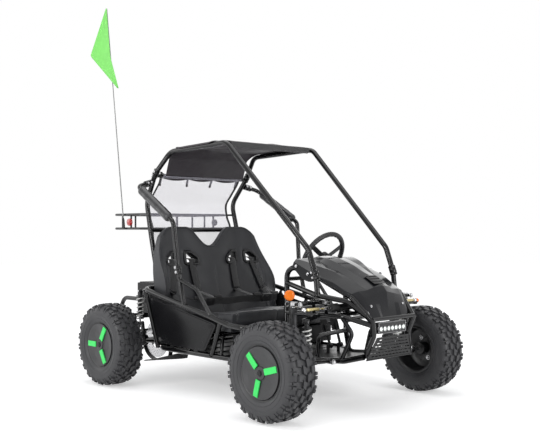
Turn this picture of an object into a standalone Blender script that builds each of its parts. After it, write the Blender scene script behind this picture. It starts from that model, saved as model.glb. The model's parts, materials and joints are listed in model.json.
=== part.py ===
"""Two-seat electric off-road kart as separate closed parts; metres, X forward, Y left, Z up.

Points are given from the rear axle's ground point; place() moves every part by REAR_AXLE_X.
"""
import math

import bmesh
import bpy
from mathutils import Vector

# Shared sizes
REAR_AXLE_X = -0.523
GAP = 0.0006
TUBE = 0.0125
RAIL_R = 0.0122
DASH_R = 0.0118
POST_R = 0.0115
BRACE = 0.0112
THIN = 0.009
ROD = 0.0065
BEND = 0.05
TIGHT_BEND = 0.025
BEND_STEP = 0.8
TUBE_SIDES = 8
ROD_SIDES = 6
PLATE = 0.003
TAB = 0.003
WELD = 0.00002
FLAT = 0.03

# Wheels
WHEELBASE = 1.163
TYRE_R = 0.2
TYRE_HALF = 0.0725
FRONT_TRACK_HALF = 0.491
REAR_TRACK_HALF = 0.4775
LUG_DEPTH = 0.009
LUGS = 17
BEAD_R = 0.1055
BEAD_HALF = 0.05
FLANGE_R = 0.1136
CAP_FACE = 0.063
RIM_SIDES = 14
STUB_R = 0.008
HUB_R = 0.029
HUB_INNER = 0.02
HUB_DEEP = 0.045


def from_front(x, y, z):
    """Point measured from the front axle."""
    return Vector((WHEELBASE + x, y, z))


# Frame stations on the left side
RAIL_REAR = Vector((0.165, 0.4, 0.475))
RAIL_SEAT = Vector((0.487, 0.4, 0.411))
RAIL_ARM = Vector((0.681, 0.4, 0.374))
RAIL_FRONT = from_front(-0.251, 0.4, 0.341)
RAIL_DOOR = RAIL_ARM.lerp(RAIL_FRONT, 0.524) - Vector((0, 0, 0.0107))
DASH_FOOT = from_front(-0.213, 0.217, 0.193)
DASH_LOW = from_front(-0.213, 0.195, 0.29)
DASH_TOP = from_front(-0.213, 0.191, 0.605)
DASH_TIP = from_front(-0.063, 0.191, 0.574)
HOOD_TUBE_MID = from_front(0.132, 0.163, 0.482)
LOWER_REAR = Vector((0.2, 0.33, 0.187))
LOWER_MID = Vector((0.8, 0.33, 0.187))
LOWER_KNEE = from_front(-0.133, 0.16, 0.2)
LOWER_FRONT = from_front(0.089, 0.16, 0.216)
NOSE_LOW = from_front(0.187, 0.15, 0.235)
NOSE_HIGH = from_front(0.222, 0.138, 0.385)
CAGE_FOOT = from_front(0.018, 0.2545, 0.575)
UPPER_MID = from_front(0.029, 0.2545, 0.488)
UPPER_FRONT = from_front(0.122, 0.182, 0.466)
MID_FRONT = from_front(0.125, 0.2, 0.404)
BRACE_POINT = from_front(0.157, 0.185, 0.336)
STRUT_TOP = RAIL_ARM.lerp(RAIL_DOOR, 0.5) - Vector((0, 0.005, 0.002))
STRUT_FOOT = Vector((0.61, 0.335, 0.192))
POST_JOINT = Vector((0.445, 0.4, 0.575))
FLOOR_INSET = 0.001
TREAD_REAR = 0.69
TREAD_FRONT = 0.785
TREAD_HALF = 0.29
TREAD_Z = 0.191
BUMPER_SIDE = Vector((-0.19, 0.265, 0.405))
BUMPER_LOW = Vector((-0.255, 0.265, 0.3))
HOOP_FOOT = Vector((0.153, 0.3, 0.51))

# Side panel corners on the left
PANEL_TOP_REAR = Vector((0.201, 0.39, 0.441))
PANEL_LOW_REAR = Vector((0.214, 0.34, 0.212))
PANEL_TOP_FRONT = Vector((0.7, 0.382, 0.34))
PANEL_LOW_FRONT_X = 0.577
PANEL_OUT = (PANEL_TOP_FRONT - PANEL_TOP_REAR).cross(PANEL_LOW_REAR - PANEL_TOP_REAR).normalized()
PANEL_LOW_FRONT = PANEL_LOW_REAR + Vector((PANEL_LOW_FRONT_X - PANEL_LOW_REAR.x, 0, 0))
PANEL_LOW_FRONT.y -= PANEL_OUT.dot(PANEL_LOW_FRONT - PANEL_LOW_REAR) / PANEL_OUT.y
PANEL = (PANEL_TOP_REAR, PANEL_LOW_REAR, PANEL_LOW_FRONT, PANEL_TOP_FRONT)

# Cage and hoop
CAGE_KNEE = from_front(-0.022, 0.256, 0.679)
ROOF_FRONT = Vector((0.652, 0.283, 1.16))
ROOF_REAR = Vector((0.227, 0.278, 1.145))
ROOF_BAR = Vector((0.64, 0.283, 1.155))
CLOTH_HALF = 0.258
COVER = 0.0185
RIPPLE = 0.0035
HEM_R = 0.0147
HOOP_TOP = Vector((0.138, 0.304, 1.04))
HOOP_KNEE = Vector((0.038, 0.286, 0.899))
HOOP_WAIST = Vector((0.08, 0.29, 0.735))
BAR_TOP = Vector((0.125, 0.401, 0.973))
BAR_BEND = Vector((0.42, 0.41, 0.797))
PAD_R = 0.0235
COLLAR_R = 0.0165
COLLAR_LONG = 0.022

# Steering
WHEEL_HUB = from_front(-0.312, 0.145, 0.631)
COLUMN_TILT = 0.49
COLUMN = Vector((math.cos(COLUMN_TILT), 0.0, -math.sin(COLUMN_TILT)))
GRIP_RING_R = 0.1215
GRIP_R = 0.0115
SHAFT_R = 0.009
RACK_X = WHEELBASE + 0.057
RACK_TRAVEL = 0.0196
RACK_Z = 0.4365
RACK_R = 0.007
FORK_LONG = 0.014
BALL_R = 0.0105
RACK_MOUNT_Y = 0.1

# Front suspension
KING_INSET = 0.126
KING_Y = FRONT_TRACK_HALF - KING_INSET
TIE_LONG = 0.12
BALL_Y = KING_Y - TIE_LONG
ARM_INNER_Y = 0.205
LOWER_SPAN = 0.12
UPPER_SPAN = 0.054
ARM_BACK = WHEELBASE + 0.002 - LOWER_SPAN / 2
ARM_FRONT = ARM_BACK + LOWER_SPAN
TOP_BACK = WHEELBASE - 0.008 - UPPER_SPAN / 2
TOP_FRONT = TOP_BACK + UPPER_SPAN
LOWER_Z = 0.215
UPPER_Z = 0.457
BUSH_R = 0.0115
PIN_R = 0.0055
PIN_OVER = 0.012
TAB_OFF = 0.008
TAB_WIDE = 0.005
SPRING_R = 0.0165
SPRING_POINTS = 8
SPRING_SIDES = 6
FIT = 0.0006
KING_R = 0.0075
SHOCK_X = WHEELBASE + 0.009
SHOCK_SHARE = 0.58125
SHOCK_Y = ARM_INNER_Y + (KING_Y - ARM_INNER_Y) * SHOCK_SHARE
SHOCK_TOP_Z = 0.383
SHOCK_LOW_Z = 0.245
LENS_R = 0.0215
SLEEVE_R = 0.0145
SLEEVE_SIDES = 8
SLEEVE_FLAT = SLEEVE_R * math.cos(math.pi / SLEEVE_SIDES)

# Rear suspension
PIVOT = Vector((0.163, 0.0, 0.207))
AXLE_Z = 0.2
AXLE_R = 0.0125
DISC_Y = -0.195
DISC_R = 0.095
REAR_SHOCK = Vector((0.0, 0.3, 0.45))
REAR_SHOCK_LOW_Z = 0.285
MOTOR = Vector((0.088, 0.02, 0.222))
MOTOR_R = 0.048
MOUNT_X = 0.1395

# Battery box, hood, lamp and pedals
BOX_REAR = -0.098
BOX_FRONT = 0.12
BOX_INSET = 0.017
BOX_HALF = BUMPER_SIDE.y - BOX_INSET
BOX_LOW = 0.335
BOX_HIGH = 0.487
HOOD_DROP = 0.0014
LAMP = from_front(0.208, 0, 0.355)
LAMP_HALF = 0.09
PEDAL = from_front(-0.208, 0, 0.228)
BRAKE_Y = 0.15
THROTTLE_Y = 0.08

# Seat
SEAT_ROWS = 10
SEAT_LOW = 0.33
SEAT_INSET = 0.034
SEAT_HALF = RAIL_REAR.y - SEAT_INSET
LOBE_Y = 0.19
LOBE_Z = 0.776
VALLEY_Z = 0.68
SLOT_OFFSET = 0.06
SLOT_Z = 0.615
SEAT_TAB_Y = 0.17
SEAT_TAB_GAP = 0.0021
CUSHION_REAR = 0.385
CUSHION_FRONT = 0.76
CUSHION_LOW = 0.298
CUSHION_HALF = SEAT_HALF - 0.006
BELT_LIFT = 0.0091
BELT_THICK = 0.003
STAND_X = (0.44, 0.67)
STAND_HALF = 0.322

# Rack and flag
CRATE_FRONT = 0.004
CRATE_REAR = -0.271
CRATE_INSET = 0.013
CRATE_HALF = HOOP_WAIST.y - CRATE_INSET
CRATE_TOP_Z = 0.84
CRATE_LOW_Z = 0.767
LENS_X = -0.113
LENS_Z = 0.8
POLE_Y = -0.0122 - CRATE_HALF
POLE_FOOT = Vector((-0.16, POLE_Y, CRATE_LOW_Z))
POLE_TIP = Vector((-0.325, POLE_Y, 1.953))
FLAG_FOLD = 0.6
FLAG_DROP = 0.44
FLAG_REACH = 0.1

BLACK = (0.012, 0.012, 0.014)
CHARCOAL = (0.035, 0.036, 0.04)
SILVER = (0.6, 0.6, 0.62)
WHITE = (0.8, 0.8, 0.8)


def circle(sides):
    return [2 * math.pi * (k + 0.5) / sides for k in range(sides)]


def flip(points):
    return [Vector((p[0], -p[1], p[2])) for p in points]


def across_middle(points):
    """A left-hand run continued as its mirror image on the right."""
    run = [Vector(p) for p in points]
    return run + flip(reversed(run))


def skin(rings, closed=False):
    """Solid over equal rings of points, capped or joined end to end."""
    size = len(rings[0])
    verts = [Vector(p) for ring in rings for p in ring]
    faces = []
    spans = len(rings) if closed else len(rings) - 1
    for i in range(spans):
        low = i * size
        high = ((i + 1) % len(rings)) * size
        for j in range(size):
            k = (j + 1) % size
            faces.append((low + j, low + k, high + k, high + j))
    if not closed:
        faces.append(tuple(reversed(range(size))))
        faces.append(tuple(range((len(rings) - 1) * size, len(rings) * size)))
    return verts, faces


def mirrored(solid):
    verts, faces = solid
    return flip(verts), [tuple(reversed(face)) for face in faces]


def both(solid):
    return [solid, mirrored(solid)]


def merged(solids):
    """Separate solids carried as one list of points and faces."""
    verts, faces = [], []
    for more, sides in solids:
        start = len(verts)
        verts += more
        faces += [tuple(start + k for k in side) for side in sides]
    return verts, faces


def rounded(points, radius):
    """Centre line through the points with an arc at every inner corner."""
    points = [Vector(p) for p in points]
    line = [points[0]]
    for before, corner, after in zip(points, points[1:], points[2:]):
        back = before - corner
        ahead = after - corner
        half = back.angle(ahead) / 2
        if math.pi / 2 - half < BEND_STEP / 8:
            line.append(corner)
            continue
        reach = min(radius / math.tan(half), 0.45 * back.length, 0.45 * ahead.length)
        arc_r = reach * math.tan(half)
        centre = corner + (back.normalized() + ahead.normalized()).normalized() * arc_r / math.sin(half)
        first = corner + back.normalized() * reach - centre
        last = corner + ahead.normalized() * reach - centre
        turn = first.angle(last)
        steps = max(1, math.ceil(turn / BEND_STEP))
        for k in range(steps + 1):
            mix = k / steps
            spoke = first * math.sin((1 - mix) * turn) + last * math.sin(mix * turn)
            line.append(centre + spoke / math.sin(turn))
    line.append(points[-1])
    return line


def frames(line, across=None):
    """Across and up directions carried along a line without twist."""
    result = []
    for i in range(len(line)):
        along = (line[min(i + 1, len(line) - 1)] - line[max(i - 1, 0)]).normalized()
        if across is None:
            across = along.orthogonal()
        across = (across - along * across.dot(along)).normalized()
        result.append((across, along.cross(across)))
    return result


def tube(points, radius=TUBE, bend=BEND, sides=None):
    sides = sides or (TUBE_SIDES if radius > BRACE else ROD_SIDES)
    line = rounded(points, bend)
    rings = []
    for point, (across, up) in zip(line, frames(line)):
        rings.append([point + (across * math.cos(a) + up * math.sin(a)) * radius for a in circle(sides)])
    return skin(rings)


def strip(points, width, depth, across, bend=TIGHT_BEND):
    """Flat bar along the points, its width kept along the given direction."""
    line = rounded(points, bend)
    rings = []
    for point, (side, up) in zip(line, frames(line, Vector(across))):
        corners = ((1, 1), (-1, 1), (-1, -1), (1, -1))
        rings.append([point + side * a * width / 2 + up * b * depth / 2 for a, b in corners])
    return skin(rings)


def turned(centre, axis, profile, sides=ROD_SIDES, closed=False):
    """Solid of revolution; profile pairs are distance along the axis and radius."""
    axis = Vector(axis).normalized()
    across = axis.orthogonal().normalized()
    up = axis.cross(across)
    rings = []
    for along, radius in profile:
        middle = Vector(centre) + axis * along
        rings.append([middle + (across * math.cos(a) + up * math.sin(a)) * radius for a in circle(sides)])
    return skin(rings, closed)


def rod(start, end, radius, sides=ROD_SIDES):
    span = Vector(end) - Vector(start)
    return turned(start, span, ((0, radius), (span.length, radius)), sides)


def bush(centre, axis, half, outer, inner, sides=8):
    """Short sleeve with an open bore, centred on the point; inner is the bore's clear radius."""
    bore = inner / math.cos(math.pi / sides)
    loop = ((-half, outer), (half, outer), (half, bore), (-half, bore))
    return turned(centre, axis, loop, sides, closed=True)


def prism(outline, origin, across, up, depth):
    """Flat outline thickened evenly on both sides of its plane."""
    across = Vector(across).normalized()
    up = Vector(up)
    up = (up - across * up.dot(across)).normalized()
    normal = across.cross(up) * depth / 2
    rings = []
    for side in (-1, 1):
        rings.append([Vector(origin) + across * a + up * b + normal * side for a, b in outline])
    return skin(rings)


def box(low, high):
    middle = (Vector(low) + Vector(high)) / 2
    size = Vector(high) - Vector(low)
    outline = [(a * size.x / 2, b * size.y / 2) for a, b in ((-1, -1), (1, -1), (1, 1), (-1, 1))]
    return prism(outline, middle, (1, 0, 0), (0, 1, 0), size.z)


def between(front, back):
    """Closed solid between two equal grids of points."""
    rows = len(front)
    cols = len(front[0])
    size = rows * cols
    verts = [Vector(p) for grid in (front, back) for row in grid for p in row]
    faces = []
    for i in range(rows - 1):
        for j in range(cols - 1):
            a = i * cols + j
            b, c, d = a + 1, a + cols + 1, a + cols
            faces += [(a, b, c), (a, c, d)]
            faces += [(size + c, size + b, size + a), (size + d, size + c, size + a)]
    rim = list(range(cols))
    rim += [i * cols + cols - 1 for i in range(1, rows)]
    rim += [(rows - 1) * cols + j for j in range(cols - 2, -1, -1)]
    rim += [i * cols for i in range(rows - 2, 0, -1)]
    for k in range(len(rim)):
        a, b = rim[k], rim[(k + 1) % len(rim)]
        faces.append((a, size + a, size + b, b))
    return verts, faces


def sheet(grid, depth):
    """Closed sheet of even thickness on a grid of points."""
    rows = len(grid)
    cols = len(grid[0])
    front, back = [], []
    for i in range(rows):
        front.append([])
        back.append([])
        for j in range(cols):
            along = grid[min(i + 1, rows - 1)][j] - grid[max(i - 1, 0)][j]
            across = grid[i][min(j + 1, cols - 1)] - grid[i][max(j - 1, 0)]
            lift = across.cross(along).normalized() * depth / 2
            front[-1].append(grid[i][j] + lift)
            back[-1].append(grid[i][j] - lift)
    return between(front, back)


def coil(foot, head, radius, wire, curls, points=SPRING_POINTS, sides=SPRING_SIDES):
    """One unbroken round wire wound about the line from foot to head."""
    foot = Vector(foot)
    rise = Vector(head) - foot
    axis = rise.normalized()
    across = axis.orthogonal().normalized()
    up = axis.cross(across)
    count = int(curls * points)
    line = []
    for k in range(count + 1):
        a = 2 * math.pi * k / points
        line.append(foot + rise * k / count + (across * math.cos(a) + up * math.sin(a)) * radius)
    rings = []
    for point, (side, top) in zip(line, frames(line, axis)):
        rings.append([point + (side * math.cos(a) + top * math.sin(a)) * wire for a in circle(sides)])
    return skin(rings)


def report_gap(name, spring, points, sides):
    """Print the least distance between skin points of curls that lie above one another."""
    verts = spring[0]
    rings = [verts[k:k + sides] for k in range(0, len(verts), sides)]
    least = math.inf
    for k, ring in enumerate(rings[:1 - points]):
        for other in rings[k + points - 1:k + points + 2]:
            least = min([least] + [(a - b).length for a in ring for b in other])
    print(f'{name}: least gap between curls {least * 1000:.1f} mm')


def tidy(mesh):
    work = bmesh.new()
    work.from_mesh(mesh)
    bmesh.ops.remove_doubles(work, verts=work.verts, dist=WELD)
    bmesh.ops.dissolve_degenerate(work, edges=work.edges, dist=WELD)
    bmesh.ops.dissolve_limit(work, angle_limit=FLAT, verts=work.verts, edges=work.edges)
    bmesh.ops.triangulate(work, faces=work.faces)
    bmesh.ops.recalc_face_normals(work, faces=work.faces)
    work.to_mesh(mesh)
    work.free()


def loose(solid):
    verts, faces = solid
    mesh = bpy.data.meshes.new('piece')
    mesh.from_pydata([tuple(p) for p in verts], [], faces)
    tidy(mesh)
    item = bpy.data.objects.new('piece', mesh)
    bpy.context.scene.collection.objects.link(item)
    return item


def fused(solids, cuts=()):
    """One mesh: the solids joined, then the cuts taken out."""
    base = loose(solids[0])
    tools = []
    steps = [(solid, 'UNION') for solid in solids[1:]] + [(cut, 'DIFFERENCE') for cut in cuts]
    for solid, operation in steps:
        tool = loose(solid)
        tools.append(tool)
        step = base.modifiers.new('step', 'BOOLEAN')
        step.operation = operation
        step.solver = 'EXACT'
        step.object = tool
    graph = bpy.context.evaluated_depsgraph_get()
    mesh = bpy.data.meshes.new_from_object(base.evaluated_get(graph))
    for item in [base] + tools:
        bpy.data.objects.remove(item)
    tidy(mesh)
    return mesh


def material(name, colour, roughness, metallic=0.0):
    look = bpy.data.materials.new(name)
    look.use_nodes = True
    shader = look.node_tree.nodes['Principled BSDF']
    shader.inputs['Base Color'].default_value = (*colour, 1)
    shader.inputs['Roughness'].default_value = roughness
    shader.inputs['Metallic'].default_value = metallic
    return look


def place(name, solids, look, pivot=(0, 0, 0), cuts=()):
    """Named part with its origin at the pivot."""
    mesh = fused(solids, cuts)
    mesh.name = name
    pivot = Vector(pivot)
    for vert in mesh.vertices:
        vert.co -= pivot
    mesh.materials.clear()
    mesh.materials.append(material(name, *look))
    item = bpy.data.objects.new(name, mesh)
    item.location = pivot + Vector((REAR_AXLE_X, 0, 0))
    bpy.context.scene.collection.objects.link(item)
    return item


PAINT = (BLACK, 0.25, 0.3)
STEEL = (SILVER, 0.35, 0.9)
PLASTIC = (CHARCOAL, 0.45, 0.0)
RUBBER = (BLACK, 0.8, 0.0)
CLOTH = (BLACK, 0.85, 0.0)

for old in list(bpy.data.objects):
    bpy.data.objects.remove(old)


def unit(a, b):
    return (Vector(b) - Vector(a)).normalized()


def collar(point, axis, forward):
    """Half of a sleeve joint ending at the point, on one side of it."""
    axis = Vector(axis).normalized() * forward
    return turned(point, axis, ((GAP / 2, COLLAR_R), (COLLAR_LONG, COLLAR_R)), TUBE_SIDES)


def short(point, axis, forward):
    """Tube end pulled back a little from a joint face."""
    return Vector(point) + Vector(axis).normalized() * forward * COLLAR_LONG / 2


CAGE_AXIS = unit(CAGE_FOOT, CAGE_KNEE)
POST_AXIS = unit(RAIL_SEAT, POST_JOINT)
FOOT_AXIS = unit(RAIL_REAR, HOOP_FOOT + Vector((0, 0.1, 0)))
CROWN_AXIS = (unit(HOOP_KNEE, HOOP_TOP) + unit(HOOP_TOP, ROOF_REAR)).normalized()
HOOP_ARM = Vector((0.108, 0.3, 0.998))
ARM_JOINT = Vector((0.114, 0.332, 0.99))
ARM_AXIS = unit(HOOP_ARM, ARM_JOINT)


def at_x(start, end, x):
    return start.lerp(end, (x - start.x) / (end.x - start.x))


def panel_tab(x, edge_from, edge_to, rail_from, rail_to):
    """Tab from a rail to the inner face of the side panel, near the panel's edge."""
    edge = at_x(edge_from, edge_to, x)
    inward = (sum(PANEL, Vector()) / 4 - edge).normalized()
    seat = PANEL_OUT * -(TAB / 2 + GAP)
    rail = at_x(rail_from, rail_to, x)
    return strip([rail, edge - inward * 0.01 + seat * 1.3, edge + inward * 0.026 + seat], 0.024, TAB,
                 Vector((1, 0, 0)) - PANEL_OUT * PANEL_OUT.x, 0.004)


def build_frame():
    rail = [DASH_LOW + Vector((0, -0.002, 0.045)), RAIL_FRONT, RAIL_DOOR, RAIL_ARM, RAIL_SEAT, RAIL_REAR]
    lower = [NOSE_LOW + Vector((-0.004, -0.005, 0.005)), LOWER_FRONT, LOWER_KNEE, LOWER_MID, LOWER_REAR]
    corner = Vector((0.1, BUMPER_SIDE.y, BUMPER_SIDE.z))
    bumper = [RAIL_REAR + Vector((0.012, -0.012, -0.06)), corner, BUMPER_SIDE,
              BUMPER_LOW]
    middle = [tube(across_middle(lower)), tube(across_middle(rail), RAIL_R)]
    middle.append(tube(across_middle(bumper), BRACE))
    middle.append(tube(across_middle([NOSE_HIGH + Vector((0, 0, 0.012)), NOSE_LOW]), bend=TIGHT_BEND))
    nose_bar = NOSE_HIGH + Vector((0.001, 0, 0.009))
    middle.append(rod(nose_bar, flip([nose_bar])[0], THIN))
    stand_z = CUSHION_LOW - THIN * math.cos(math.pi / ROD_SIDES) - GAP / 2
    for x in STAND_X:
        stand = [Vector((x, LOWER_REAR.y, LOWER_REAR.z)), Vector((x, STAND_HALF, stand_z))]
        middle.append(tube(across_middle(stand), THIN, TIGHT_BEND, ROD_SIDES))
    dash_bar = Vector((DASH_TOP.x, DASH_TOP.y, 0.545))
    middle.append(rod(dash_bar, flip([dash_bar])[0], THIN))
    column_at = WHEEL_HUB + COLUMN * ((dash_bar.x - WHEEL_HUB.x) / COLUMN.x)
    middle.append(bush(column_at, COLUMN, 0.014, 0.0165, SHAFT_R + FIT))
    middle.append(box((dash_bar.x - 0.005, WHEEL_HUB.y - 0.007, dash_bar.z), (dash_bar.x + 0.005,
                      WHEEL_HUB.y + 0.007, column_at.z - SHAFT_R - 0.004)))
    floor = []
    for point in (LOWER_REAR, LOWER_MID, LOWER_KNEE, LOWER_FRONT, NOSE_LOW):
        half = point.y - FLOOR_INSET
        low, high = point.z - PLATE / 2, point.z + PLATE / 2
        corners = ((-half, low), (half, low), (half, high), (-half, high))
        floor.append([(point.x, y, z) for y, z in corners])
    middle.append(skin(floor))
    middle.append(box((TREAD_REAR, -TREAD_HALF, LOWER_MID.z), (TREAD_FRONT, TREAD_HALF, TREAD_Z)))
    shaft_end = Vector((0, 0.29, 0))
    middle.append(rod(PIVOT - shaft_end, PIVOT + shaft_end, 0.009))
    for y in (RACK_MOUNT_Y, -RACK_MOUNT_Y):
        middle.append(box((RACK_X - 0.007, y - 0.006, 0.402), (RACK_X + 0.007, y + 0.006, RACK_Z - 0.0135)))
    middle.append(rod((RACK_X, -0.2, 0.404), (RACK_X, 0.2, 0.404), THIN))
    side = [tube([DASH_FOOT, DASH_LOW, DASH_TOP, DASH_TIP, HOOD_TUBE_MID, NOSE_HIGH], DASH_R, 0.045)]
    upper = [Vector((DASH_TOP.x, 0.193, 0.528)), UPPER_MID, UPPER_FRONT]
    upper.append(NOSE_HIGH + Vector((-0.02, 0.006, 0.02)))
    side.append(tube(upper, BRACE, 0.04))
    side.append(tube([UPPER_MID, short(CAGE_FOOT, CAGE_AXIS, -1)], POST_R))
    side.append(collar(CAGE_FOOT, CAGE_AXIS, -1))
    level = [Vector((DASH_TOP.x, 0.194, 0.4)), from_front(-0.083, 0.2, 0.402), MID_FRONT]
    side.append(tube(level + [NOSE_HIGH + Vector((-0.003, 0, -0.014))], BRACE))
    back = Vector((-0.014, 0, 0))
    side.append(tube([MID_FRONT + back, BRACE_POINT, LOWER_FRONT + back], THIN, TIGHT_BEND, ROD_SIDES))
    inner = [from_front(-0.063, 0.16, 0.205), from_front(-0.043, 0.172, 0.31), from_front(0.137, 0.19, 0.352)]
    side.append(tube(inner, THIN, TIGHT_BEND, ROD_SIDES))
    upright_top = RAIL_REAR + Vector((0.012, -0.004, -0.002))
    side.append(tube([LOWER_REAR - Vector((0.006, 0, 0)), upright_top], BRACE))
    side.append(tube([STRUT_TOP, STRUT_FOOT], BRACE))
    for x in (0.32, 0.5):
        for edge, rail_from, rail_to in (((0, 3), RAIL_REAR, RAIL_ARM), ((1, 2), LOWER_REAR, LOWER_MID)):
            side.append(panel_tab(x, PANEL[edge[0]], PANEL[edge[1]], rail_from, rail_to))
    side.append(tube([RAIL_SEAT, short(POST_JOINT, POST_AXIS, -1)], BRACE))
    side.append(collar(POST_JOINT, POST_AXIS, -1))
    arm_rest = [RAIL_SEAT.lerp(POST_JOINT, 0.73), Vector((0.58, 0.4, 0.49)), RAIL_ARM]
    side.append(tube(arm_rest, THIN, 0.03, ROD_SIDES))
    stub_foot = Vector((RAIL_REAR.x, HOOP_FOOT.y, RAIL_REAR.z))
    side.append(rod(stub_foot, short(HOOP_FOOT, HOOP_FOOT - stub_foot, -1), BRACE, TUBE_SIDES))
    side.append(collar(HOOP_FOOT, HOOP_FOOT - stub_foot, -1))
    side.append(prism(((-0.03, -0.018), (0.045, -0.024), (0.045, 0.012), (-0.018, 0.022)),
                      PIVOT + Vector((0, 0.282, 0)), (1, 0, 0), (0, 0, 1), 0.006))
    side.append(prism(((-0.016, -0.048), (0.016, -0.048), (0.014, 0.012), (-0.014, 0.012)),
                      REAR_SHOCK - Vector((0, 0.0285, 0)), (1, 0, 0), (0, 0, 1), 0.006))
    side.append(rod(REAR_SHOCK - Vector((0, 0.0285, 0)), REAR_SHOCK + Vector((0, 0.014, 0)), PIN_R))
    for rear_x, front_x, z in ((ARM_BACK, ARM_FRONT, LOWER_Z), (TOP_BACK, TOP_FRONT, UPPER_Z)):
        side.append(rod((rear_x - PIN_OVER, ARM_INNER_Y, z), (front_x + PIN_OVER, ARM_INNER_Y, z), PIN_R))
    for x in (ARM_BACK - TAB_OFF, ARM_FRONT + TAB_OFF):
        side.append(prism(((-0.045, -0.006), (0.01, -0.01), (0.01, 0.01), (-0.045, 0.006)),
                          (x, ARM_INNER_Y, LOWER_Z), (0, 1, 0), (0, 0, 1), TAB_WIDE))
    for x in (TOP_BACK - TAB_OFF, TOP_FRONT + TAB_OFF):
        side.append(prism(((-0.012, -0.052), (0.006, -0.052), (0.01, 0.01), (-0.01, 0.01)),
                          (x, ARM_INNER_Y, UPPER_Z), (0, 1, 0), (0, 0, 1), TAB_WIDE))
    root = ARM_INNER_Y - SHOCK_Y - 0.007
    side.append(prism(((root, 0.012), (root, 0.028), (0.008, 0.01), (0.008, -0.008), (-0.005, -0.01)),
                      (SHOCK_X - 0.016, SHOCK_Y, SHOCK_TOP_Z), (0, 1, 0), (0, 0, 1), TAB_WIDE))
    side.append(rod((SHOCK_X - 0.016, SHOCK_Y, SHOCK_TOP_Z), (SHOCK_X + 0.012, SHOCK_Y, SHOCK_TOP_Z), PIN_R))
    ring = Vector((LAMP.x, LAMP_HALF + 0.01, LAMP.z))
    side.append(bush(ring, (0, 1, 0), 0.003, 0.0105, 0.004 + FIT, 8))
    side.append(rod(ring + Vector((0, 0.002, 0.0088)), from_front(0.215, 0.14, 0.362), 0.0032, 6))
    for y in (BRAKE_Y, THROTTLE_Y):
        middle.append(box((PEDAL.x - 0.008, y - 0.016, LOWER_KNEE.z - 0.008),
                          (PEDAL.x + 0.008, y - 0.011, PEDAL.z + 0.008)))
        middle.append(rod((PEDAL.x, y - 0.013, PEDAL.z), (PEDAL.x, y + 0.012, PEDAL.z), 0.0045))
    solids = middle + side + [mirrored(solid) for solid in side]
    place('main_frame', solids, PAINT)


def build_cage():
    side = [CAGE_FOOT, CAGE_KNEE, ROOF_FRONT, ROOF_REAR, HOOP_TOP]
    side = [short(CAGE_FOOT, CAGE_AXIS, 1)] + side[1:-1] + [short(HOOP_TOP, CROWN_AXIS, 1)]
    solids = [rod(ROOF_BAR, flip([ROOF_BAR])[0], BRACE, TUBE_SIDES)]
    for solid in (tube(side, bend=0.07), collar(CAGE_FOOT, CAGE_AXIS, 1), collar(HOOP_TOP, CROWN_AXIS, 1)):
        solids += both(solid)
    place('roll_cage', solids, PAINT)


def build_hoop():
    foot_axis = HOOP_FOOT - Vector((RAIL_REAR.x, HOOP_FOOT.y, RAIL_REAR.z))
    side = [short(HOOP_TOP, CROWN_AXIS, -1), HOOP_KNEE, HOOP_WAIST, short(HOOP_FOOT, foot_axis, 1)]
    top = Vector((0.131, 0.302, 1.03))
    belt = HOOP_WAIST + Vector((-0.003, 0, 0.024))
    solids = [rod(top, flip([top])[0], THIN, TUBE_SIDES), rod(belt, flip([belt])[0], BRACE, TUBE_SIDES)]
    tab_end = seat_near(SEAT_TAB_Y, belt.z, True).x - SEAT_TAB_GAP
    tab_low = (belt.x, SEAT_TAB_Y - 0.015, belt.z - TAB)
    solids.append(box(tab_low, (tab_end, SEAT_TAB_Y + 0.015, belt.z + TAB)))
    solids.append(mirrored(solids[-1]))
    for solid in (tube(side, bend=0.08), collar(HOOP_TOP, CROWN_AXIS, -1), collar(HOOP_FOOT, foot_axis, 1),
                  rod(HOOP_ARM, short(ARM_JOINT, ARM_AXIS, -1), THIN, TUBE_SIDES),
                  collar(ARM_JOINT, ARM_AXIS, -1)):
        solids += both(solid)
    strap_low = Vector((0.0535, -0.2772, 0.7755))
    half = 0.009
    strap = prism(((-half, 0), (half, 0), (half, 0.1), (-half, 0.1)), strap_low, (1, 0, 0), (0, 0, 1), 0.004)
    holes = [rod(strap_low + Vector((0, -0.006, z)), strap_low + Vector((0, 0.006, z)), 0.004, 6)
             for z in (0.024, 0.05, 0.076)]
    place('rear_hoop', solids + [strap], PAINT, cuts=[merged(holes)])


def build_side_bar(name, solid_side):
    line = [short(ARM_JOINT, ARM_AXIS, 1), BAR_TOP, BAR_BEND, short(POST_JOINT, POST_AXIS, 1)]
    along = unit(BAR_TOP, BAR_BEND)
    pad = rod(BAR_TOP + along * 0.03, BAR_BEND - along * 0.03, PAD_R, 12)
    solids = [tube(line, BRACE, 0.035), pad, collar(ARM_JOINT, ARM_AXIS, 1), collar(POST_JOINT, POST_AXIS, 1)]
    if solid_side < 0:
        solids = [mirrored(solid) for solid in solids]
    place(name, solids, PAINT)


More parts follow.
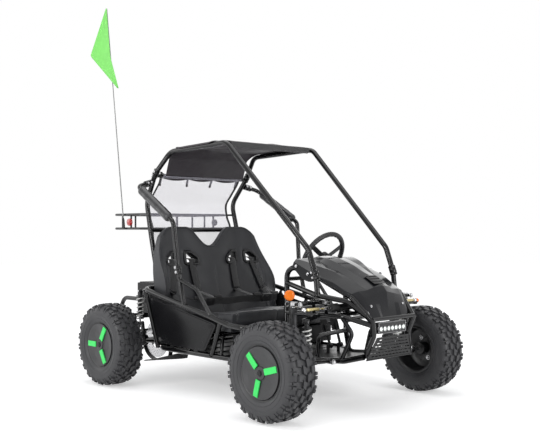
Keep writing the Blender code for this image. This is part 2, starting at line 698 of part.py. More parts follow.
def build_rack():
    solids = []
    for z in (CRATE_TOP_Z, CRATE_LOW_Z):
        ring = [(CRATE_FRONT, CRATE_HALF), (CRATE_REAR, CRATE_HALF), (CRATE_REAR, -CRATE_HALF),
                (CRATE_FRONT, -CRATE_HALF)]
        ends = [(CRATE_FRONT, CRATE_HALF - 0.1), (CRATE_FRONT, 0.1 - CRATE_HALF)]
        points = [Vector((x, y, z)) for x, y in ends[:1] + ring + ends[1:]]
        solids.append(tube(points, ROD, 0.03, ROD_SIDES))
        inset = Vector((0.0002, 0.01, 0))
        solids.append(rod(points[0] + inset, points[-1] + flip([inset])[0], ROD * 0.85, ROD_SIDES))
    bars = [(CRATE_FRONT, y) for y in (-0.067, 0.034, 0.18)]
    bars += [(CRATE_REAR, y) for y in (-0.14, 0.14)]
    bars += [(x, y) for x in (-0.19, LENS_X) for y in (-CRATE_HALF, CRATE_HALF)]
    for x, y in bars:
        solids.append(rod((x, y, CRATE_LOW_Z), (x, y, CRATE_TOP_Z), 0.005, ROD_SIDES))
    solids.append(rod((-0.15, -CRATE_HALF, CRATE_LOW_Z), (-0.15, CRATE_HALF, CRATE_LOW_Z), 0.0048, ROD_SIDES))
    for z in (CRATE_TOP_Z, CRATE_LOW_Z):
        for y in (-1, 1):
            low, high = sorted((y * (CRATE_HALF - 0.004), y * (HOOP_WAIST.y - 0.004)))
            reach = hoop_x(z) - TUBE - GAP * 2
            solids.append(box((CRATE_FRONT - 0.03, low, z - 0.005), (reach, high, z + 0.005)))
    lens = ((0.0, 0.019), (0.012, 0.019), (0.015, 0.015))
    for y in (-1, 1):
        solids.append(turned((LENS_X, y * CRATE_HALF, LENS_Z), (0, y, 0), lens, 10))
    place('cargo_rack', solids, PAINT)


def hoop_x(z):
    """Distance forward of the hoop's centre line at a height between waist and knee."""
    mix = (z - HOOP_WAIST.z) / (HOOP_KNEE.z - HOOP_WAIST.z)
    return HOOP_WAIST.x + (HOOP_KNEE.x - HOOP_WAIST.x) * mix


def build_canopy():
    """Cloth from the front bar over the side tubes, then down behind the rear bends."""
    rows = []
    for k, angle in enumerate((-25, 35, 95)):
        a = math.radians(angle)
        hem = ROOF_BAR + Vector((math.cos(a), 0, math.sin(a))) * HEM_R
        rows.append(canopy_row(Vector((hem.x, CLOTH_HALF, hem.z)), 0.0, k, None))
    for k, t in enumerate((0.12, 0.17, 0.22, 0.42, 0.62, 0.83, 0.89, 0.95)):
        wrap = max(0.0, min(1.0, (t - 0.12) / 0.1, (0.95 - t) / 0.12))
        rows.append(canopy_row(ROOF_FRONT.lerp(ROOF_REAR, t), 0.008 * math.sin(math.pi * t), 3 + k, wrap))
    for k, (x, z) in enumerate(((0.196, 1.128), (0.172, 1.096), (0.15, 1.066))):
        rows.append(canopy_row(Vector((x, CLOTH_HALF, z)), 0.0, 11 + k, None))
    place('canopy', [sheet(rows, 0.0016)], CLOTH)


def canopy_row(edge, sag, index, wrap):
    """One row of cloth; wrap says how far its edge is folded over the side tube."""
    row = []
    columns = 9
    for j in range(columns + 1):
        u = 2 * j / columns - 1
        ripple = RIPPLE * math.sin(9.7 * u + index) * (1 - u * u) * min(1, index // 3)
        flat = CLOTH_HALF * 0.97
        lift = 0.0 if wrap is None else COVER
        row.append(Vector((edge.x, u * flat, edge.z + lift - sag * (1 - u * u) + ripple)))
    sides = []
    for low, high in ((120, -103), (140, -80)):
        if wrap is None:
            sides.append((edge.y + 0.004 * (low < 130), edge.z))
        else:
            a = math.radians(low + high * wrap)
            sides.append((edge.y + COVER * math.cos(a), edge.z + COVER * math.sin(a)))
    (edge_y, edge_z), (mid_y, mid_z) = sides
    left = [Vector((edge.x, mid_y, mid_z)), Vector((edge.x, edge_y, edge_z))]
    return list(reversed(flip(left))) + row + left


def build_window():
    rows = []
    centre = Vector((0.131, 0, 1.03))
    wrap = (THIN + 0.0012) / math.cos(0.5)
    for a in (-2.0, -1.0, 0.0, 1.0, 2.0, 3.0):
        rows.append((centre.x + wrap * math.cos(a), centre.z + wrap * math.sin(a)))
    for x, z in ((0.1, 0.995), (0.02, 0.895), (0.03, 0.83), (0.05, 0.775), (0.055, 0.7), (0.075, 0.62)):
        rows.append((x, z))
    grid = []
    for i, (x, z) in enumerate(rows):
        grid.append([])
        half = 0.258 if i > 5 else 0.262
        for j in range(9):
            u = j / 4 - 1
            wave = 0.002 * math.sin(2.6 * u * math.pi + i) if i > 6 else 0.0
            grid[-1].append(Vector((x + wave, u * half, z)))
    place('rear_window', [sheet(grid, 0.0012)], ((0.7, 0.7, 0.75), 0.2, 0.0))


def build_flag():
    along = unit(POLE_FOOT, POLE_TIP)
    base = turned(POLE_FOOT, along, ((0, 0.006), (0.05, 0.006), (0.055, 0.0035)), ROD_SIDES)
    pole = turned(POLE_FOOT, along, ((0.01, 0.0032), ((POLE_TIP - POLE_FOOT).length, 0.0022)), ROD_SIDES)
    place('flag_pole', [base, pole], (WHITE, 0.4, 0.0))
    away = Vector((-0.69, -0.72, 0))
    rows = []
    for i in range(8):
        t = i / 7
        over = max(0.0, t - FLAG_FOLD) / (1 - FLAG_FOLD)
        hoist = POLE_TIP - along * (0.004 + FLAG_DROP * t) - away * 0.03 * over
        reach = FLAG_REACH * min(t / FLAG_FOLD, (1 - t) / (1 - FLAG_FOLD)) + 0.006
        side = Vector((0.72, -0.69, 0))
        rows.append([hoist + away * reach * u + side * (0.0084 + 0.005 * math.sin(4 * t + 5 * u))
                     for u in (0.0, 0.33, 0.66, 1.0)])
    place('flag', [sheet(rows, 0.0012)], ((0.3, 0.7, 0.25), 0.7, 0.0))


def seat_top(y):
    y = abs(y)
    if y < LOBE_Y:
        return VALLEY_Z + (LOBE_Z - VALLEY_Z) * math.sin(math.pi / 2 * y / LOBE_Y) ** 2
    return LOBE_Z - 0.055 * ((y - LOBE_Y) / 0.1) ** 2


def seat_point(u, v, back=False):
    """Point on the seat back; u runs across, v from the bottom edge to the top."""
    y = u * SEAT_HALF * (1 - 0.2 * v ** 3)
    z = SEAT_LOW + v * (seat_top(u * SEAT_HALF * 0.8) - SEAT_LOW)
    lean = 0.192 + 0.55 * (LOBE_Z - z) ** 2
    rim = max(abs(u) ** 8, v ** 14)
    bolster = 0.055 * abs(u) ** 5 * math.exp(-((v - 0.42) / 0.3) ** 2)
    cup = 0.012 * math.cos(math.pi * min(1.0, abs(abs(y) - LOBE_Y) / LOBE_Y))
    if back:
        return Vector((lean - 0.044 + 0.012 * rim, y, z))
    return Vector((lean + bolster - cup - 0.012 * rim + 0.008 * (1 - v), y, z))


def build_seat():
    columns, rows = 20, SEAT_ROWS
    front, back = [], []
    for i in range(rows + 1):
        v = i / rows
        front.append([seat_point(2 * j / columns - 1, v) for j in range(columns + 1)])
        back.append([seat_point(2 * j / columns - 1, v, True) for j in range(columns + 1)])
    slots = []
    for side in (-1, 1):
        for offset in (-SLOT_OFFSET, SLOT_OFFSET):
            tilt = math.copysign(0.012, offset)
            outline = [(-0.03, -0.016 - tilt), (0.03, -0.016 + tilt * 0.2)]
            outline += [(0.026, 0.018 - tilt), (-0.026, 0.018 + tilt)]
            slots.append(prism(outline, (0.24, side * LOBE_Y + offset, SLOT_Z), (0, 1, 0), (0, 0, 1), 0.3))
    place('seat_back', [between(front, back)], (CHARCOAL, 0.55, 0.0), cuts=[merged(slots)])
    place('seat_cushion', [cushion()], (CHARCOAL, 0.55, 0.0))
    place('seat_belts', belts(), (BLACK, 0.8, 0.0))


def cushion_top(x, y):
    t = (x - CUSHION_REAR) / (CUSHION_FRONT - CUSHION_REAR)
    dish = 0.012 * math.cos(2 * math.pi * (abs(y) - LOBE_Y) / (2 * LOBE_Y))
    side = 0.018 * (abs(y) / CUSHION_HALF) ** 6
    return 0.352 + 0.045 * t - dish * math.sin(math.pi * t) + side * (1 - t)


def cushion():
    columns, rows = 16, 8
    top, low = [], []
    for i in range(rows + 1):
        t = i / rows
        x = CUSHION_REAR + (CUSHION_FRONT - CUSHION_REAR) * t
        top.append([])
        low.append([])
        for j in range(columns + 1):
            u = 2 * j / columns - 1
            y = u * CUSHION_HALF * (1 - 0.05 * t ** 2)
            rim = max(abs(u) ** 10, abs(2 * t - 1) ** 10)
            top[-1].append(Vector((x, y, cushion_top(x, y) - 0.014 * rim)))
            low[-1].append(Vector((x - 0.012 * t ** 4, y, CUSHION_LOW + 0.01 * rim)))
    return between(top, low)


def seat_facet(u, v, back=False):
    """Point on the seat back's flat facets between its rows."""
    step = math.floor(min(v, 0.999) * SEAT_ROWS)
    low = seat_point(u, step / SEAT_ROWS, back)
    return low.lerp(seat_point(u, (step + 1) / SEAT_ROWS, back), v * SEAT_ROWS - step)


def seat_near(y, z, back=False):
    """Point of the seat back's front or rear surface nearest a side distance and height."""
    spots = [seat_facet(u / 20 - 1, v / 50, back) for u in range(41) for v in range(51)]
    return min(spots, key=lambda spot: abs(spot.y - y) + abs(spot.z - z))


def belt_point(y, z):
    spot = seat_near(y, z)
    return Vector((spot.x + BELT_LIFT, y, z))


def belts():
    solids = []
    anchor_z = 0.415
    lap = [Vector((0.43, 0.25, anchor_z)), Vector((0.405, 0.1, anchor_z - 0.004)), Vector((0.4, 0, anchor_z))]
    lap += flip(reversed(lap[:-1]))
    solids.append(strip(lap, 0.04, BELT_THICK, (0, 0, 1), 0.1))
    for side in (-1, 1):
        for offset in (-SLOT_OFFSET, SLOT_OFFSET):
            y = side * LOBE_Y + offset
            end_y = side * LOBE_Y + offset * 0.75
            line = []
            for share in (0, 1 / 3, 2 / 3):
                line.append(belt_point(y + (end_y - y) * share, SLOT_Z - 0.028 + (0.44 - SLOT_Z) * share))
            line.append(Vector((0.412, end_y, anchor_z)))
            solids.append(strip(line, 0.036, BELT_THICK, (0, 1, 0), 0.15))
        half = Vector((0.011, 0.03, 0.03))
        buckle = Vector((0.413, side * LOBE_Y, anchor_z))
        solids.append(box(buckle - half, buckle + half))
    return solids


def build_hood():
    rear = [(-0.165, 0.207, 0.602), (-0.165, 0.204, 0.627), (-0.163, 0.19, 0.638),
            (-0.163, 0.09, 0.64), (-0.163, 0, 0.642)]
    flank = [(-0.06, 0.2061, 0.542), (-0.06, 0.2035, 0.588), (-0.063, 0.185, 0.617),
             (-0.058, 0.09, 0.634), (-0.043, 0, 0.65)]
    neck = [(-0.025, 0.206, 0.588), (-0.023, 0.2, 0.6), (-0.023, 0.178, 0.609),
            (-0.013, 0.09, 0.619), (0.002, 0, 0.641)]
    mid = [(0.037, 0.19, 0.557), (0.041, 0.183, 0.566), (0.047, 0.157, 0.574),
           (0.055, 0.085, 0.588), (0.067, 0, 0.611)]
    crease = [(0.135, 0.16, 0.504), (0.139, 0.15, 0.508), (0.145, 0.13, 0.511),
              (0.151, 0.08, 0.521), (0.162, 0, 0.541)]
    nose = [(0.149, 0.148, 0.49), (0.155, 0.142, 0.49), (0.163, 0.12, 0.494),
            (0.172, 0.075, 0.5), (0.182, 0, 0.515)]
    lip = [(0.182, 0.125, 0.41), (0.186, 0.12, 0.408), (0.193, 0.1, 0.404),
           (0.199, 0.062, 0.402), (0.204, 0, 0.402)]
    base = [(0.189, 0.118, 0.39), (0.193, 0.113, 0.3895), (0.199, 0.095, 0.389),
            (0.205, 0.06, 0.388), (0.209, 0, 0.388)]
    grid = []
    for row in (rear, flank, neck, mid, crease, nose, lip, base):
        left = [from_front(*p) - Vector((0, 0, HOOD_DROP)) for p in row]
        grid.append(left + flip(reversed(left[:-1])))
    place('hood', [sheet(grid, 0.002)], (CHARCOAL, 0.3, 0.0))


def build_plates():
    slope = unit(NOSE_LOW, NOSE_HIGH)
    rise = Vector((slope.x, 0, slope.z)).normalized()
    outline = ((-0.15, -0.004), (0.15, -0.004), (0.106, 0.088), (-0.106, 0.088))
    origin = Vector((NOSE_LOW.x, 0, NOSE_LOW.z)) + Vector((rise.z, 0, -rise.x)) * (TUBE + 0.0012 + GAP)
    holes = []
    for row in range(4):
        for k in range(-3, 4):
            y = (k + 0.5 * (row % 2)) * 0.045
            if abs(y) > 0.122 - 0.012 * row:
                continue
            spot = origin + rise * (0.012 + 0.02 * row) + Vector((0, y, 0))
            holes.append(prism(((-0.015, -0.004), (0.015, -0.004), (0.015, 0.004), (-0.015, 0.004)), spot,
                               (0, 1, 0), rise, 0.02))
    place('bumper_plate', [prism(outline, origin, (0, 1, 0), rise, 0.0024)], (BLACK, 0.5, 0.2),
          cuts=[merged(holes)])
    for name, mirror in (('side_panel_left', 1), ('side_panel_right', -1)):
        corners = PANEL
        outward = PANEL_OUT
        centre = sum(corners, Vector()) / 4
        solids = []
        for share, low, high in ((1.0, 0.0, 0.003), (0.86, 0.002, 0.006)):
            ring = [centre + (p - centre) * share for p in corners]
            solids.append(skin([[p + outward * low for p in ring], [p + outward * high for p in ring]]))
        inner = [centre + (p - centre) * 0.8 for p in corners]
        recess = skin([[p + outward * 0.0042 for p in inner], [p + outward * 0.01 for p in inner]])
        if mirror < 0:
            solids = [mirrored(solid) for solid in solids]
            recess = mirrored(recess)
        place(name, solids, (CHARCOAL, 0.3, 0.0), cuts=[recess])


def build_box():
    solids = [box((BOX_REAR, -BOX_HALF, BOX_LOW), (BOX_FRONT, BOX_HALF, BOX_HIGH))]
    rail_top = BUMPER_SIDE.z + BRACE
    flange = BUMPER_SIDE.y - 0.003
    solids.append(box((BOX_REAR + 0.008, -flange, rail_top + GAP / 3), (BOX_FRONT - 0.02, flange, rail_top + 0.005)))
    lid = BOX_HALF - 0.008
    solids.append(box((BOX_REAR - 0.002, -lid, BOX_LOW - 0.035), (BOX_REAR + 0.002, lid, BOX_LOW + 0.085)))
    solids.append(box((BOX_REAR + 0.008, -lid, BOX_HIGH - 0.002), (BOX_FRONT - 0.008, lid, BOX_HIGH + 0.005)))
    place('battery_box', solids, PAINT)


def build_lamp():
    solids = [box((LAMP.x - 0.01, -LAMP_HALF, LAMP.z - 0.025), (LAMP.x + 0.01, LAMP_HALF, LAMP.z + 0.025))]
    pin = Vector((0, LAMP_HALF + 0.014, 0))
    solids.append(rod(LAMP - pin, LAMP + pin, 0.004))
    for k in range(-3, 4):
        lens = turned(LAMP + Vector((0.009, k * 0.024, -0.004)), (1, 0, 0), ((0, 0.0095), (0.004, 0.0085)), 8)
        if k > -3:
            solids.append(lens)
    place('light_bar', solids, ((0.5, 0.52, 0.5), 0.3, 0.2), LAMP)


def build_pedals():
    for name, y, width in (('brake_pedal', BRAKE_Y, 0.05), ('throttle_pedal', THROTTLE_Y, 0.04)):
        pivot = Vector((PEDAL.x, y, PEDAL.z))
        rise = Vector((-0.32, 0, 1)).normalized()
        front = Vector((1, 0, 0.32)).normalized()
        hub = bush(pivot, (0, 1, 0), 0.009, 0.011, 0.0045 + FIT, 10)
        half = 0.005
        arm = prism(((-half, 0.008), (half, 0.008), (half, 0.1), (-half, 0.1)), pivot, (0, 1, 0), rise, 0.008)
        pad = prism(((-width / 2, 0.07), (width / 2, 0.07), (width / 2, 0.125), (-width / 2, 0.125)),
                    pivot - front * 0.006, (0, 1, 0), rise, 0.006)
        place(name, [hub, arm, pad], STEEL, pivot)


def build_steering():
    up = Vector((-COLUMN.z, 0, COLUMN.x))
    left = Vector((0, 1, 0))
    loop = [(GRIP_R * math.sin(a), GRIP_RING_R + GRIP_R * math.cos(a)) for a in circle(6)]
    solids = [turned(WHEEL_HUB, COLUMN, loop, 20, closed=True)]
    solids.append(turned(WHEEL_HUB, COLUMN, ((-0.004, 0.022), (-0.002, 0.028), (0.018, 0.028)), 14))
    for angle in (0.0, 2.094, 4.189):
        spoke = (left * math.sin(angle) - up * math.cos(angle))
        solids.append(strip([WHEEL_HUB + COLUMN * 0.014, WHEEL_HUB + spoke * 0.06 + COLUMN * 0.008,
                             WHEEL_HUB + spoke * GRIP_RING_R], 0.022, 0.005, spoke.cross(COLUMN), 0.02))
    place('steering_wheel', solids, RUBBER, WHEEL_HUB)
    start = WHEEL_HUB + COLUMN * (0.018 + GAP)
    reach = (RACK_X - WHEEL_HUB.x) / COLUMN.x - 0.036
    end = WHEEL_HUB + COLUMN * reach
    shaft_long = (end - start).length
    shaft = turned(start, COLUMN, ((0, 0.02), (0.006, 0.02), (0.008, SHAFT_R), (shaft_long, SHAFT_R)), 10)
    place('steering_shaft', [shaft], STEEL, WHEEL_HUB)
    bore = RACK_R + FIT
    boot_end = BALL_Y - FORK_LONG - RACK_TRAVEL - FIT * 2
    folds = ((0.0452, 0.0135), (0.0412, 0.018), (0.0312, 0.0135), (0.0212, 0.0175), (0.0112, 0.013), (0, 0.0145))
    half = [(boot_end - back, radius) for back, radius in folds]
    outer = [(-y, r) for y, r in reversed(half)] + half
    inner = [(half[-1][0], bore), (-half[-1][0], bore)]
    housing = turned((RACK_X, 0, RACK_Z), (0, 1, 0), outer + inner, 10, closed=True)
    column_at = WHEEL_HUB + COLUMN * (reach + 0.012)
    ring = bush(column_at, COLUMN, 0.021, 0.0157, SHAFT_R + FIT)
    feet = [box((RACK_X - 0.008, y - 0.008, RACK_Z - 0.0131), (RACK_X + 0.008, y + 0.008, RACK_Z - 0.009))
            for y in (RACK_MOUNT_Y, -RACK_MOUNT_Y)]
    core = rod((RACK_X, 0.005 - BALL_Y, RACK_Z), (RACK_X, BALL_Y - 0.005, RACK_Z), bore, 10)
    place('rack_housing', [housing, ring] + feet, (CHARCOAL, 0.4, 0.3), cuts=[core])
    bar = [rod((RACK_X, -BALL_Y + 0.012, RACK_Z), (RACK_X, BALL_Y - 0.012, RACK_Z), RACK_R, 10)]
    for side in (-1, 1):
        y = side * BALL_Y
        bar.append(box((RACK_X - 0.01, y - side * 0.01 - 0.004, RACK_Z - 0.006),
                       (RACK_X + 0.01, y - side * 0.01 + 0.004, RACK_Z + 0.006)))
        for x in (-0.0085, 0.0085):
            bar.append(box((RACK_X + x - 0.0015, min(y - side * 0.012, y + side * 0.005), RACK_Z - 0.005),
                           (RACK_X + x + 0.0015, max(y - side * 0.012, y + side * 0.005), RACK_Z + 0.005)))
        bar.append(rod((RACK_X - 0.0095, y, RACK_Z), (RACK_X + 0.0095, y, RACK_Z), 0.0022, 8))
    place('rack_bar', bar, STEEL, (RACK_X, 0, RACK_Z))
    for side in (-1, 1):
        inner_end = Vector((RACK_X, side * BALL_Y, RACK_Z))
        outer_end = Vector((RACK_X, side * KING_Y, RACK_Z))
        link = [bush(inner_end, (1, 0, 0), 0.0055, 0.0052, 0.0022 + FIT, 10)]
        link.append(rod(inner_end.lerp(outer_end, 0.038), outer_end, 0.0042))
        link.append(rod(inner_end.lerp(outer_end, 0.3), inner_end.lerp(outer_end, 0.86), 0.0062, 6))
        ball = [(BALL_R * math.sin(a), BALL_R * math.cos(a)) for a in (-1.3, -0.45, 0.45, 1.3)]
        link.append(turned(outer_end, (0, 0, 1), ball, 8))
        place('tie_rod_left' if side > 0 else 'tie_rod_right', link, ((0.6, 0.45, 0.15), 0.3, 0.9), inner_end)


def build_corner(side):
    """Front suspension on one side; side is +1 on the left."""
    hand = 'left' if side > 0 else 'right'

    def out(name, solids, look, pivot, cuts=()):
        if side < 0:
            solids = [mirrored(solid) for solid in solids]
            cuts = [mirrored(solid) for solid in cuts]
            pivot = flip([pivot])[0]
        place(name + '_' + hand, solids, look, pivot, cuts)

    x = WHEELBASE
    levels = (('lower_arm', LOWER_Z, ARM_BACK, ARM_FRONT), ('upper_arm', UPPER_Z, TOP_BACK, TOP_FRONT))
    for name, z, back, front in levels:
        middle = (back + front) / 2
        half = (front - back) / 2 - 0.0055
        solids = [bush((middle, ARM_INNER_Y, z), (1, 0, 0), half, BUSH_R - 0.001, PIN_R + FIT, 10)]
        for end, tip in ((back + 0.014, x - 0.0262), (front - 0.014, x + 0.0262)):
            solids.append(rod((end, ARM_INNER_Y + 0.0085, z), (tip, KING_Y, z), 0.0072))
        solids.append(rod((x - 0.036, KING_Y, z), (x + 0.036, KING_Y, z), PIN_R, 8))
        if name == 'lower_arm':
            solids.append(box((x - 0.042, SHOCK_Y - 0.02, z - 0.004), (x + 0.042, SHOCK_Y + 0.02, z + 0.004)))
            for ear in (SHOCK_X - 0.0135, SHOCK_X + 0.0105):
                ear_top = (ear + TAB, SHOCK_Y + 0.009, SHOCK_LOW_Z + 0.008)
                solids.append(box((ear, SHOCK_Y - 0.009, z), ear_top))
            eye, pin = Vector((SHOCK_X, SHOCK_Y, SHOCK_LOW_Z)), Vector((0.0125, 0, 0))
            solids.append(rod(eye - pin, eye + pin, 0.0035))
        out(name, solids, PAINT, Vector((middle, ARM_INNER_Y, z)))
    solids = [rod((x, KING_Y, LOWER_Z + 0.009), (x, KING_Y, UPPER_Z - 0.009), KING_R, 12)]
    for z in (LOWER_Z, UPPER_Z):
        solids.append(bush((x, KING_Y, z), (1, 0, 0), 0.0145, BUSH_R, PIN_R + FIT, 10))
    out('upright', solids, STEEL, Vector((x, KING_Y, LOWER_Z)))
    sleeve_low, sleeve_high = LOWER_Z + BUSH_R + GAP * 2, UPPER_Z - BUSH_R - GAP * 2
    middle = (sleeve_low + sleeve_high) / 2
    sleeve_half = (sleeve_high - sleeve_low) / 2
    solids = [bush((x, KING_Y, middle), (0, 0, 1), sleeve_half, SLEEVE_R, KING_R + FIT, SLEEVE_SIDES)]
    solids.append(box((x - 0.013, KING_Y + 0.028, 0.178), (x + 0.013, KING_Y + 0.038, 0.33)))
    solids.append(box((x - 0.01, KING_Y + 0.0115, 0.262), (x + 0.01, KING_Y + 0.03, 0.325)))
    hub = FRONT_TRACK_HALF
    solids.append(turned((x, KING_Y + 0.03, AXLE_Z), (0, 1, 0), ((0, 0.017), (0.03, 0.017), (0.034, STUB_R),
                  (hub + HUB_DEEP - 0.001 - KING_Y - 0.03, STUB_R)), 10))
    arm_z = RACK_Z - BALL_R - GAP - 0.0035
    reach = RACK_X - x
    edge = [(0.011, -0.01), (reach - 0.007, -0.008), (reach + 0.009, -0.007)]
    outline = edge + [(along, -out_y) for along, out_y in reversed(edge)]
    solids.append(prism(outline, (x, KING_Y, arm_z), (1, 0, 0), (0, 1, 0), 0.007))
    out('knuckle', solids, STEEL, Vector((x, KING_Y, middle)))
    clamp_y = KING_Y + SLEEVE_FLAT + GAP
    stalk_foot = Vector((x + 0.002, clamp_y + 0.004, 0.41))
    stalk_top = from_front(0.013, KING_Y + 0.035, 0.472)
    lens = from_front(0.013, KING_Y + 0.037, 0.496)
    face = Vector((0.75, 0.66, 0)).normalized()
    lens_r = LENS_R
    if side > 0:
        stalk_top = from_front(0.017, KING_Y + 0.037, 0.424)
        lens = from_front(0.024, KING_Y + 0.053, 0.43)
        face = Vector((0.1, 0.2, 1)).normalized()
        lens_r = LENS_R * 0.65
    bend_at = stalk_top.lerp(stalk_foot, 0.6) + Vector((0, 0.006, 0))
    solids = [tube([stalk_foot, bend_at, stalk_top], 0.003, 0.01, 6)]
    solids.append(box((x - 0.006, clamp_y, 0.403), (x + 0.006, clamp_y + 0.007, 0.417)))
    dome = ((0, 0.6 * lens_r), (0.008, lens_r), (0.018, lens_r), (0.021, 0.7 * lens_r))
    solids.append(turned(lens - face * 0.01, face, dome, 10))
    solids.append(rod(stalk_top.lerp(lens, -0.2), lens, 0.0035, 6))
    out('side_marker', solids, ((0.75, 0.2, 0.01), 0.3, 0.0), Vector((x, KING_Y, middle)))


def build_wheel(name, x, y):
    """Tyre and rim of one wheel; its outer face looks away from the kart."""
    outward = 1 if y > 0 else -1
    centre = Vector((x, y, AXLE_Z))
    half = [(BEAD_HALF - 0.0002, BEAD_R + GAP), (TYRE_HALF, TYRE_R - 0.05)]
    half += [(TYRE_HALF - 0.0065, TYRE_R - 0.018), (0.04, TYRE_R - 0.003)]
    section = [(-along, radius) for along, radius in half] + [(0.0, TYRE_R)] + half[::-1]
    columns = LUGS * 2
    rings = []
    for k, (along, radius) in enumerate(section):
        ring = []
        for c in range(columns):
            a = 2 * math.pi * c / columns
            phase = (c + (1 if k > 4 else 0)) % 2
            cut = LUG_DEPTH if phase else 0.0
            if k in (2, 6):
                cut = 0.5 * LUG_DEPTH * phase
            if k in (0, 1, 7, 8):
                cut = 0.0
            if k == 4:
                cut = 0.0 if c % 4 == 0 else LUG_DEPTH * 0.6
            r = radius - cut
            ring.append(centre + Vector((r * math.sin(a), along * outward, -r * math.cos(a))))
        rings.append(ring)
    place(name + '_tyre', [skin(rings, closed=True)], RUBBER, centre)
    profile = [(CAP_FACE, 0.104), (CAP_FACE - 0.003, FLANGE_R), (BEAD_HALF + 0.003, BEAD_R),
               (-BEAD_HALF, BEAD_R), (-0.06, FLANGE_R), (-0.06, 0.098), (0.02, 0.092),
               (0.028, HUB_R), (-HUB_INNER, HUB_R), (-HUB_INNER, STUB_R + FIT), (HUB_DEEP, STUB_R + FIT)]
    axis = Vector((0, outward, 0))
    solids = [turned(centre, axis, profile, RIM_SIDES)]
    solids.append(turned(centre, axis, ((CAP_FACE - 0.002, 0.013), (CAP_FACE + 0.006, 0.012)), 6))
    for k in range(3):
        a = math.radians(90 - 68 + 120 * k)
        ray = Vector((math.cos(a), 0, math.sin(a)))
        solids.append(prism(((0.022, -0.0085), (0.093, -0.0085), (0.093, 0.0085), (0.022, 0.0085)),
                            centre + axis * (CAP_FACE + 0.001), ray, axis.cross(ray), 0.006))
    place(name + '_rim', solids, (BLACK, 0.35, 0.2), centre)


def build_shock(prefix, hand, top, low_z, axis, wire):
    """Shock body, rod and spring between an upper eye and a lower eye straight below it."""
    side = 1 if hand == 'left' else -1
    top = Vector((top.x, top.y * side, top.z))
    down = Vector((0, 0, -1))
    length = top.z - low_z
    low = top + down * length
    eye = 0.011
    body = [bush(top, axis, 0.0075, eye, PIN_R + FIT)]
    seat = 0.022
    end = length - 0.052
    body.append(turned(top, down, ((end - 0.05, 0.0052), (end, 0.0052), (end, 0.0098), (0.009, 0.0098)), 8))
    body.append(turned(top, down, ((seat, 0.0205), (seat + 0.004, 0.0205)), 9))
    place(prefix + '_shock_body_' + hand, body, (CHARCOAL, 0.4, 0.5), top)
    lift = length - 0.024
    piston = [bush(low, axis, 0.0075, 0.0095, 0.0048)]
    piston.append(turned(top, down, ((end - 0.02, 0.0044), (length - 0.0075, 0.0044)), 8))
    piston.append(turned(top, down, ((lift - 0.004, 0.0205), (lift, 0.0205)), 9))
    place(prefix + '_shock_rod_' + hand, piston, STEEL, low)
    clear = GAP + wire
    foot = top + down * (lift - 0.004 - clear)
    head = top + down * (seat + 0.004 + clear)
    curls = round((head.z - foot.z) / 0.0195)
    spring = coil(foot, head, SPRING_R, wire, curls)
    report_gap(prefix + '_spring_' + hand, spring, SPRING_POINTS, SPRING_SIDES)
    place(prefix + '_spring_' + hand, [spring], (WHITE, 0.35, 0.0), head + Vector((0, 0, clear)))


